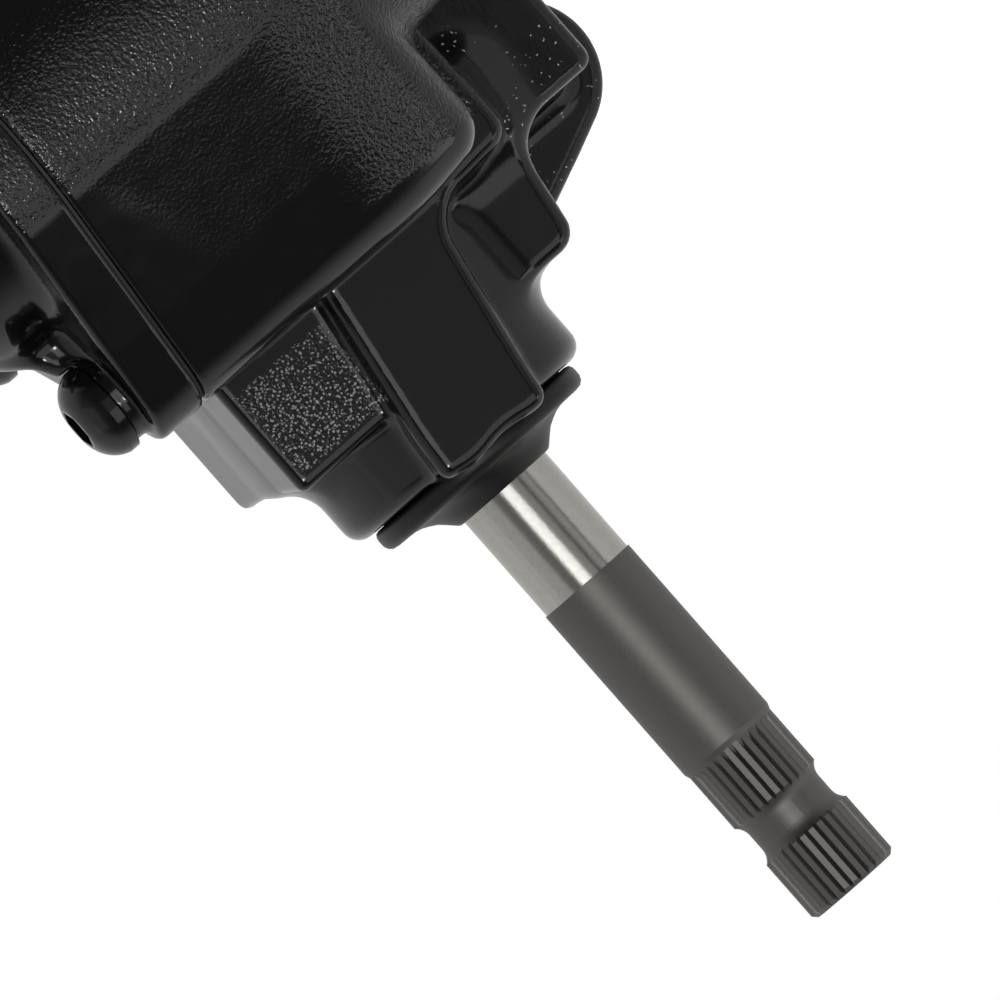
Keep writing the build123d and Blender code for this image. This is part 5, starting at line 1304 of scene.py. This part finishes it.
@dataclass
class DustBoot:
    """The rubber boot between neck and shaft, turned around the worm axis.

    Attributes:
        profile: The closed outline that is turned, as (x, radius).
        steps: How many times it is set around the axis.
    """

    profile: tuple[Pair, ...] = (
        (96.6, 20.9), (96.6, 22.3), (96.8, 22.9), (97.4, 23.3), (98.2, 23.4), (99.4, 23.35), (100.2, 23.0),
        (100.8, 22.3), (101.0, 21.2), (101.05, 19.0), (101.15, 17.4), (101.45, 16.1), (102.0, 14.9),
        (102.8, 13.5), (103.8, 12.4), (104.8, 11.4), (105.3, 10.9), (105.6, 10.5), (105.7, 9.95),
        (105.68, 9.62), (102.5, 9.62), (98.9, 15.2), (98.9, 19.2), (96.1, 19.2), (96.1, 20.9),
    )
    steps: int = 128

    def build(self, wardrobe: Wardrobe) -> bpy.types.Object:
        """Turn the profile into a closed ring and put it in the solid's place.

        Args:
            wardrobe: Where the rubber comes from.

        Returns:
            The finished piece.
        """
        turns = np.linspace(0, 2 * math.pi, self.steps, endpoint=False)
        points = [(x, r * math.cos(t), r * math.sin(t)) for t in turns for x, r in self.profile]
        count = len(self.profile)
        faces = []
        for i in range(self.steps):
            here, there = i * count, (i + 1) % self.steps * count
            for j in range(count):
                after = (j + 1) % count
                faces.append((here + j, there + j, there + after, here + after))
        piece = join_mesh(np.array(points), faces, "turned_dust_boot")
        return wardrobe.fit(piece, "dust_boot", "input_shaft", Slot.RUBBER)


@dataclass
class Lamp:
    """One soft lamp that hangs in a direction seen from the gearbox and points at it.

    Attributes:
        name: The lamp's name.
        way: Its direction.
        distance: How far away, in metres.
        width: Its size across, in metres.
        height: Its size upwards, in metres.
        power: Its power in watts.
        aim: The place that it points at, in metres.
    """

    name: str
    way: Triple
    distance: float
    width: float
    height: float
    power: float
    aim: Triple = (0.05, 0.07, 0.021)

    def build(self) -> None:
        """Hang the lamp."""
        data = bpy.data.lights.new(self.name, "AREA")
        data.shape = "RECTANGLE"
        data.size, data.size_y = self.width, self.height
        data.energy = self.power
        lamp = bpy.data.objects.new(self.name, data)
        way = Vector(self.way).normalized()
        across = Vector((0, 0, 1)).cross(way).normalized()
        turned = Matrix((across, way.cross(across), way)).transposed().to_4x4()
        lamp.matrix_world = Matrix.Translation(Vector(self.aim) + way * self.distance) @ turned
        lamp.visible_camera = False
        bpy.context.scene.collection.objects.link(lamp)


@dataclass
class Studio:
    """The camera at the photograph's angle, the floor, the lamps and the backdrop.

    Attributes:
        scale_px_per_mm: The photograph's scale at the worm axis.
        distance_mm: How far the camera stands away.
        turn_deg: How far it stands to the side of the sector axis.
        elevation_deg: How high it stands.
        roll_deg: How far it is rolled.
        look_x: Where it looks, along the worm axis, in millimetres.
        look_s: Where it looks, across that axis in the photograph.
        floor_gap: How far below the gearbox the floor is, in metres.
        floor_side: Half the floor's width and its reach to the frame side, in metres.
        floor_front: Its reach to the front, in metres.
        floor_glow: What the camera sees added to the floor's own light.
        behind: The backdrop's reflected light behind the gearbox.
        room: The reflected light of the dark room in front.
        ends: The reflected light above and below.
        fill: The backdrop's light on matt faces.
        turn_y: Between which parts of the way to the front the backdrop turns into the dark room.
        turn_z: Between which parts of the way up or down that room turns into its ends.
        lamps: The lamps.
    """

    scale_px_per_mm: float = 5.58
    distance_mm: float = 7000.0
    turn_deg: float = 0.5
    elevation_deg: float = 10.5
    roll_deg: float = 48.7
    look_x: float = 106.8
    look_s: float = 2.15
    floor_gap: float = 0.002
    floor_side: float = 0.40
    floor_front: float = 0.16
    floor_glow: float = 0.62
    behind: float = 0.64
    room: float = 0.07
    ends: float = 0.3
    fill: float = 0.7
    turn_y: Pair = (-0.2, 0.45)
    turn_z: Pair = (0.4, 0.95)
    lamps: tuple[Lamp, ...] = (
        Lamp("side_softbox", (0.525, 0.84, -0.14), 1.4, 0.80, 0.8, 1.9),
        Lamp("front_softbox", (0.03, 0.97, -0.22), 1.5, 0.75, 0.5, 0.3),
        Lamp("strip_light", (0.05, 0.965, 0.19), 1.3, 0.90, 0.60, 2.8),
        Lamp("key_light", (0.28, 0.92, 0.28), 1.2, 0.18, 0.18, 2.4),
        Lamp("overhead_softbox", (0.10, 0.33, 0.94), 1.0, 0.9, 0.7, 0.4),
        Lamp("low_softbox", (0.05, 0.80, -0.60), 1.0, 0.9, 0.28, 0.20),
        Lamp("corner_light", (0.74, 0.43, -0.52), 1.1, 0.50, 0.35, 0.8),
    )

    def camera(self) -> None:
        """Place the camera on the sector side, rolled as the photograph is."""
        turn, rise = math.radians(self.turn_deg), math.radians(self.elevation_deg)
        back = Vector((-math.sin(turn) * math.cos(rise), math.cos(turn) * math.cos(rise), math.sin(rise)))
        along = (Vector((1, 0, 0)) - back * back.x).normalized()
        upward = along.cross(back)
        roll = math.radians(self.roll_deg)
        right = along * math.cos(roll) - upward * math.sin(roll)
        up = -along * math.sin(roll) - upward * math.cos(roll)
        target = Vector((0, WORM_Y, WORM_Z)) + along * self.look_x + upward * self.look_s
        data = bpy.data.cameras.new("photo_camera")
        data.sensor_width = SENSOR_MM
        data.lens = SENSOR_MM * self.distance_mm / (PHOTO_PIXELS / self.scale_px_per_mm)
        data.clip_start, data.clip_end = 0.01, 40
        camera = bpy.data.objects.new("photo_camera", data)
        axes = Matrix((right, up, back)).transposed().to_4x4()
        camera.matrix_world = Matrix.Translation((target + back * self.distance_mm) * MM) @ axes
        bpy.context.scene.collection.objects.link(camera)
        bpy.context.scene.camera = camera

    def floor(self) -> None:
        """A plain pale floor below the gearbox, just wide enough for its shadow."""
        data = bpy.data.meshes.new("floor")
        low = cad_bounds[0].z - self.floor_gap
        side, front = self.floor_side, self.floor_front
        corners = [(-side, -side, low), (side, -side, low), (side, front, low), (-side, front, low)]
        data.from_pydata(corners, [], [(0, 1, 2, 3)])
        floor = bpy.data.objects.new("floor", data)
        bpy.context.scene.collection.objects.link(floor)
        material = bpy.data.materials.new("pale_floor")
        material.use_nodes = True
        tree = material.node_tree
        shader = tree.nodes["Principled BSDF"]
        shader.inputs["Base Color"].default_value = srgb("f4f4f4")
        shader.inputs["Roughness"].default_value = 0.9
        shader.inputs["Emission Color"].default_value = (1, 1, 1, 1)
        path = add_node(tree, "LightPath")
        glow = add_node(tree, "Math", {0: path.outputs["Is Camera Ray"], 1: self.floor_glow},
                        operation="MULTIPLY")
        tree.links.new(glow.outputs["Value"], shader.inputs["Emission Strength"])
        data.materials.append(material)

    def world(self) -> None:
        """A white backdrop behind the gearbox, with a dark room in front of it."""
        world = bpy.data.worlds.new("studio")
        world.use_nodes = True
        tree = world.node_tree
        back = tree.nodes["Background"]
        path = add_node(tree, "LightPath")
        place = add_node(tree, "TexCoord").outputs["Generated"]
        split = add_node(tree, "SeparateXYZ", {"Vector": place})
        (back_y, front_y), (side_z, end_z) = self.turn_y, self.turn_z
        behind = add_node(tree, "MapRange", {"Value": split.outputs["Y"], "From Min": back_y,
                                             "From Max": front_y, "To Min": self.behind,
                                             "To Max": self.room}, interpolation_type="SMOOTHSTEP")
        height = add_node(tree, "Math", {0: split.outputs["Z"]}, operation="ABSOLUTE")
        ends = add_node(tree, "MapRange", {"Value": height.outputs["Value"], "From Min": side_z,
                                           "From Max": end_z, "To Min": self.room,
                                           "To Max": self.ends}, interpolation_type="SMOOTHSTEP")
        room = add_node(tree, "Math", {0: behind.outputs["Result"], 1: ends.outputs["Result"]},
                        operation="MAXIMUM")
        mirrored = add_node(tree, "Math", {0: path.outputs["Is Glossy Ray"],
                                           1: path.outputs["Is Transmission Ray"]}, operation="MAXIMUM")
        seen = add_node(tree, "MapRange", {"Value": mirrored.outputs["Value"], "To Min": self.fill,
                                           "To Max": room.outputs["Value"]})
        level = add_node(tree, "Math", {0: path.outputs["Is Camera Ray"], 1: seen.outputs["Result"]},
                         operation="MAXIMUM")
        back.inputs["Color"].default_value = (1, 1, 1, 1)
        tree.links.new(level.outputs["Value"], back.inputs["Strength"])
        bpy.context.scene.world = world

    def build(self) -> None:
        """Set the whole stage."""
        self.camera()
        self.floor()
        self.world()
        for lamp in self.lamps:
            lamp.build()
        bpy.context.scene.view_settings.view_transform = "Standard"


def main() -> None:
    """Build the gearbox's look and the studio around it."""
    wardrobe = Wardrobe()
    wardrobe.dress_frame()
    log.info("CAD nodes dressed")
    outline = CoverOutline()
    for part in (Housing(outline), SideCover(outline), DustBoot()):
        piece = part.build(wardrobe)
        log.info("%s: %d points", piece.name, len(piece.data.vertices))
    Studio().build()
    log.info("studio set")


if __name__ == "__main__":
    main()
